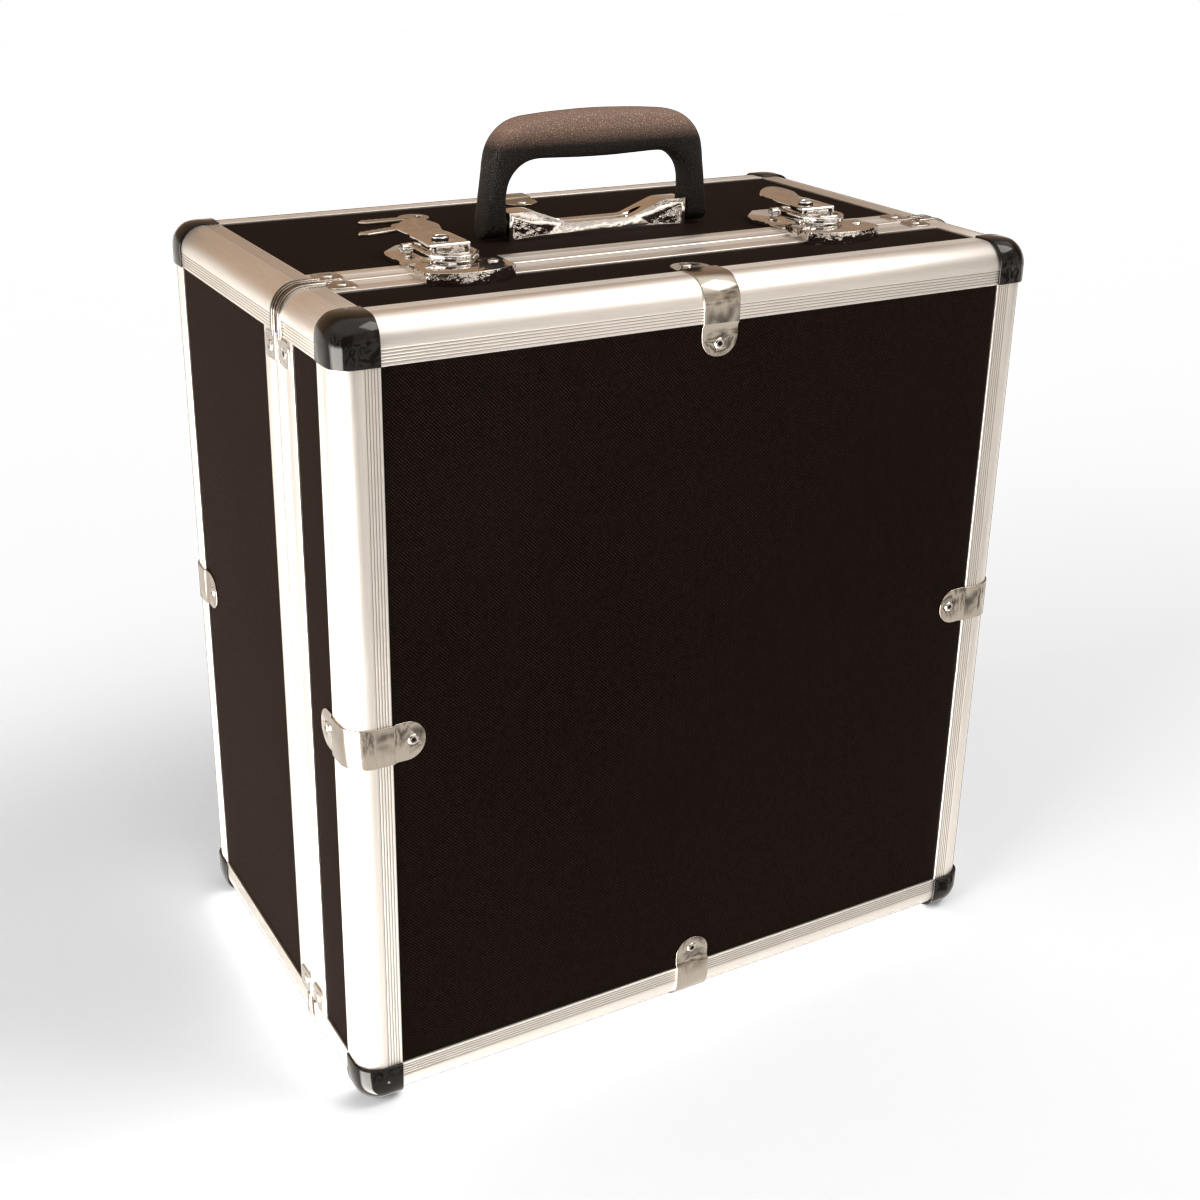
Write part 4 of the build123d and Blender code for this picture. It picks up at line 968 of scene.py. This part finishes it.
# %% Pressed parts of the latches
NOSE_RADIUS, NOSE_STEPS = 0.0017, 10  # a larger nose would meet the base's cheeks
SHEET, NOSE_PLAY = 0.0013, 0.0001  # thickness of the sheet, and how far the cut stays inside the nose
AT_FRONT = 0.0005  # vertices this near belong to the lever's front
LOCK_TOP, LOCK_RISE = 0.4980, 0.0016  # the lock's face stands this much proud of the lever
WALL_LEAN = 0.4  # a keeper's face that looks along Z by less than this belongs to a wall


def nose_corner(bm):
    """Where the lever's flat top would meet its front: y and z."""
    front = min(v.co.y for v in bm.verts)
    return front, max(v.co.z for v in bm.verts if v.co.y < front + AT_FRONT)


def cut_corner(bm):
    """Takes off the lever's sharp front edge, where the rounded nose goes."""
    front, top = nose_corner(bm)
    middle = Vector((0, front + NOSE_RADIUS, top - NOSE_RADIUS))
    for angle in map(math.radians, (15, 45, 75)):
        outward = Vector((0, -math.cos(angle), math.sin(angle)))
        cut = sliced(bm, middle + outward * (NOSE_RADIUS - NOSE_PLAY), outward, clear_outer=True)
        rim = [e for e in cut["geom_cut"] if isinstance(e, bmesh.types.BMEdge)]
        bmesh.ops.edgenet_fill(bm, edges=rim)


def lever_nose(side):
    """The bent front of the lever: a quarter round of sheet over its full width."""
    node = f"{side}_latch_lever"
    source = merged_copy(node)
    front, top = nose_corner(source)
    near = [v.co.x for v in source.verts if v.co.y < front + AT_FRONT and v.co.z > top - SHEET / 2]
    source.free()
    angles = [math.pi / 2 * step / NOSE_STEPS for step in range(NOSE_STEPS + 1)]
    section = [
        (front + NOSE_RADIUS - radius * math.cos(angle), top - NOSE_RADIUS + radius * math.sin(angle))
        for radius, way in ((NOSE_RADIUS, 1), (NOSE_RADIUS - SHEET, -1)) for angle in angles[::way]
    ]
    bm = bmesh.new()
    ends = [[bm.verts.new((x, y, z)) for y, z in section] for x in (min(near), max(near))]
    for end in ends:
        bm.faces.new(end)
    for i in range(len(section)):
        j = (i + 1) % len(section)
        bm.faces.new((ends[0][i], ends[0][j], ends[1][j], ends[1][i]))
    bmesh.ops.recalc_face_normals(bm, faces=bm.faces)
    link_piece(f"{side}_lever_nose", smooth_mesh(bm, f"{side}_lever_nose", 40), "bright_chrome", node)


def raised_face(bm):
    """Lifts the upper end of a lock part above the lever."""
    for vertex in bm.verts:
        if vertex.co.z > LOCK_TOP:
            vertex.co.z += LOCK_RISE


for side in ("left", "right"):
    dressed(f"{side}_latch_base", "bright_chrome", 0.00025)
    dressed(f"{side}_latch_lever", "bright_chrome", 0.0003, special=cut_corner)
    lever_nose(side)
    dressed(f"{side}_bail_pins", "zinc_plate", 0.00015)
    dressed(f"{side}_lock_body", "black_lock", 0.0002, special=raised_face)
    dressed(f"{side}_lock_plug", "dark_brass", 0.00015, special=raised_face)
keepers = dressed("latch_keepers", "bright_chrome", 0.0008, segments=3)
two_toned(keepers, "keeper_chrome", lambda face: abs(face.normal.z) < WALL_LEAN)
dressed("latch_lever_pins", "zinc_plate", 0.0002)
print("pressed latch parts dressed")

# %% The tree of a coil's rings
rings, sizes_in, output = growing_tree("coil_rings", [
    ("Turns", COUNT, 4),
    ("Pitch", VALUE, 0.0009),
    ("Turn Radius", VALUE, 0.0024),
    ("Wire Radius", VALUE, 0.00045),
])
turn_links = [("Resolution", 32), ("Radius", sizes_in["Turn Radius"])]
loop = chain(rings, "GeometryNodeCurvePrimitiveCircle", turn_links).outputs["Curve"]
ring = swept_circle(rings, loop, 12, sizes_in["Wire Radius"])
upright = chain(rings, "GeometryNodeTransform", [("Geometry", ring), ("Rotation", (0, math.pi / 2, 0))])
step = chain(rings, "ShaderNodeCombineXYZ", [("X", sizes_in["Pitch"])])
row = chain(rings, "GeometryNodeMeshLine", [("Count", sizes_in["Turns"]), ("Offset", step.outputs[0])])
on_row = on_points(rings, row.outputs[0], upright.outputs[0])
close_tree(rings, on_points(rings, sizes_in["Geometry"], on_row), sizes_in, output)

# %% Bails with their coils
TURNS, TURN_PITCH, TURN_RADIUS, TURN_WIRE = 4, 0.00088, 0.0026, 0.00044
for side in ("left", "right"):
    name, node = f"{side}_bail_coils", f"{side}_latch_bail"
    dressed(node, "bright_chrome", 0.0009, segments=3, from_deg=50)
    low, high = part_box(node)
    pin_low, pin_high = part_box(f"{side}_bail_pins")
    pin_y, pin_z = (pin_low[1] + pin_high[1]) / 2, (pin_low[2] + pin_high[2]) / 2
    width = (TURNS - 1) * TURN_PITCH
    starts = [(low[0] - TURN_WIRE - width, pin_y, pin_z), (high[0] + TURN_WIRE, pin_y, pin_z)]
    mesh = grown_mesh(name, starts, rings, {
        "Turns": TURNS, "Pitch": TURN_PITCH, "Turn Radius": TURN_RADIUS, "Wire Radius": TURN_WIRE,
        "Finish": FINISHES["bright_chrome"],
    })
    link_piece(name, mesh, "bright_chrome", node)
    print(side, "bail and", 2 * TURNS, "turns")

# %% The tree of an oval rim
rims, sizes_in, output = growing_tree("lock_rims", [
    ("Half Width", VALUE, 0.005),
    ("Half Depth", VALUE, 0.0037),
    ("Wire Radius", VALUE, 0.0005),
])
unit = chain(rims, "GeometryNodeCurvePrimitiveCircle", [("Resolution", 40), ("Radius", 1.0)])
size = chain(rims, "ShaderNodeCombineXYZ", [
    ("X", sizes_in["Half Width"]), ("Y", sizes_in["Half Depth"]), ("Z", 1.0),
])
oval = chain(rims, "GeometryNodeTransform", [("Geometry", unit.outputs["Curve"]), ("Scale", size.outputs[0])])
rim = swept_circle(rims, oval.outputs[0], 8, sizes_in["Wire Radius"])
close_tree(rims, on_points(rims, sizes_in["Geometry"], rim), sizes_in, output)

# %% Rims of the lock faces
RIM_SUNK = 0.0002  # how far the ring's middle lies below the lock's face
for side in ("left", "right"):
    name, node = f"{side}_lock_rim", f"{side}_lock_body"
    low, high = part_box(node)
    middle = ((low[0] + high[0]) / 2, (low[1] + high[1]) / 2, high[2] + LOCK_RISE - RIM_SUNK)
    mesh = grown_mesh(name, [middle], rims, {
        "Half Width": (high[0] - low[0]) / 2, "Half Depth": (high[1] - low[1]) / 2,
        "Finish": FINISHES["bright_chrome"],
    })
    link_piece(name, mesh, "bright_chrome", node)
    print(side, "lock rim", len(mesh.polygons), "faces")

# %% Keys
dressed("keys", "key_nickel", 0.0003)
print("keys dressed")

# %% [markdown]
# ## Lining
# Each wall is lined with a thin foam pad under black plush. A pad is full in the middle and pulls down
# towards its glued edges, and the pile never lies quite flat. Each pad starts as the box that the CAD gives
# it, cut into a grid, and its vertices are moved by how near they are to an edge.

# %% Lining pads
PAD_CELL, PAD_EDGE, PAD_DROP = 0.009, 0.022, 0.0035  # grid cell, width of the pulled edge, and its depth
PAD_SPARE = 0.0005  # kept free below the CAD pad's face, for the ripples
RIPPLE, RIPPLE_WAVES = 0.0004, (55, 47)  # height of the ripples, and radians per metre each way
CASE_MIDDLE = (Vector(cad_low) + Vector(cad_high)) / 2


def crowned_pad(bm, low, high):
    """Adds one pad to a bmesh: a fine box whose inner face sinks towards its edges."""
    size = high - low
    thin = min(range(3), key=lambda i: size[i])
    across, along = (i for i in range(3) if i != thin)
    on_high_wall = (low[thin] + high[thin]) / 2 > CASE_MIDDLE[thin]
    wall, inward = (high[thin], -1) if on_high_wall else (low[thin], 1)
    columns, rows = (max(4, round(size[i] / PAD_CELL)) for i in (across, along))
    grid = {}
    for inner in (0, 1):
        for i in range(columns + 1):
            for j in range(rows + 1):
                shares = i / columns, j / rows
                spot = Vector()
                spot[across] = low[across] + shares[0] * size[across]
                spot[along] = low[along] + shares[1] * size[along]
                to_edge = [min(s, 1 - s) * size[k] for s, k in zip(shares, (across, along))]
                near = [1 - min(1, e / PAD_EDGE) for e in to_edge]
                drop = PAD_DROP * min(1, near[0] ** 2 + near[1] ** 2)
                waves = [math.sin(spot[k] * w) for k, w in zip((across, along), RIPPLE_WAVES)]
                full = size[thin] - drop - PAD_SPARE + RIPPLE * waves[0] * waves[1] * (1 - max(near))
                spot[thin] = wall + inward * full * inner
                grid[inner, i, j] = bm.verts.new(spot)

    def quad(*keys):
        """A face between four grid points."""
        bm.faces.new([grid[key] for key in keys])

    for inner in (0, 1):
        for i in range(columns):
            for j in range(rows):
                quad((inner, i, j), (inner, i + 1, j), (inner, i + 1, j + 1), (inner, i, j + 1))
    for i in range(columns):
        for j in (0, rows):
            quad((0, i, j), (0, i + 1, j), (1, i + 1, j), (1, i, j))
    for j in range(rows):
        for i in (0, columns):
            quad((0, i, j), (0, i, j + 1), (1, i, j + 1), (1, i, j))


for node in ("lid_front_lining", "lid_side_lining", "body_back_lining", "body_side_lining"):
    boxes, bm = merged_copy(node), bmesh.new()
    for island in islands(boxes):
        low, high = (Vector([pick(v.co[i] for v in island) for i in range(3)]) for pick in (min, max))
        crowned_pad(bm, low, high)
    boxes.free()
    bmesh.ops.recalc_face_normals(bm, faces=bm.faces)
    pads = link_piece(node + "_pads", smooth_mesh(bm, node + "_pads", 60), "black_plush", node, node)
    print(node, len(pads.data.polygons), "faces")
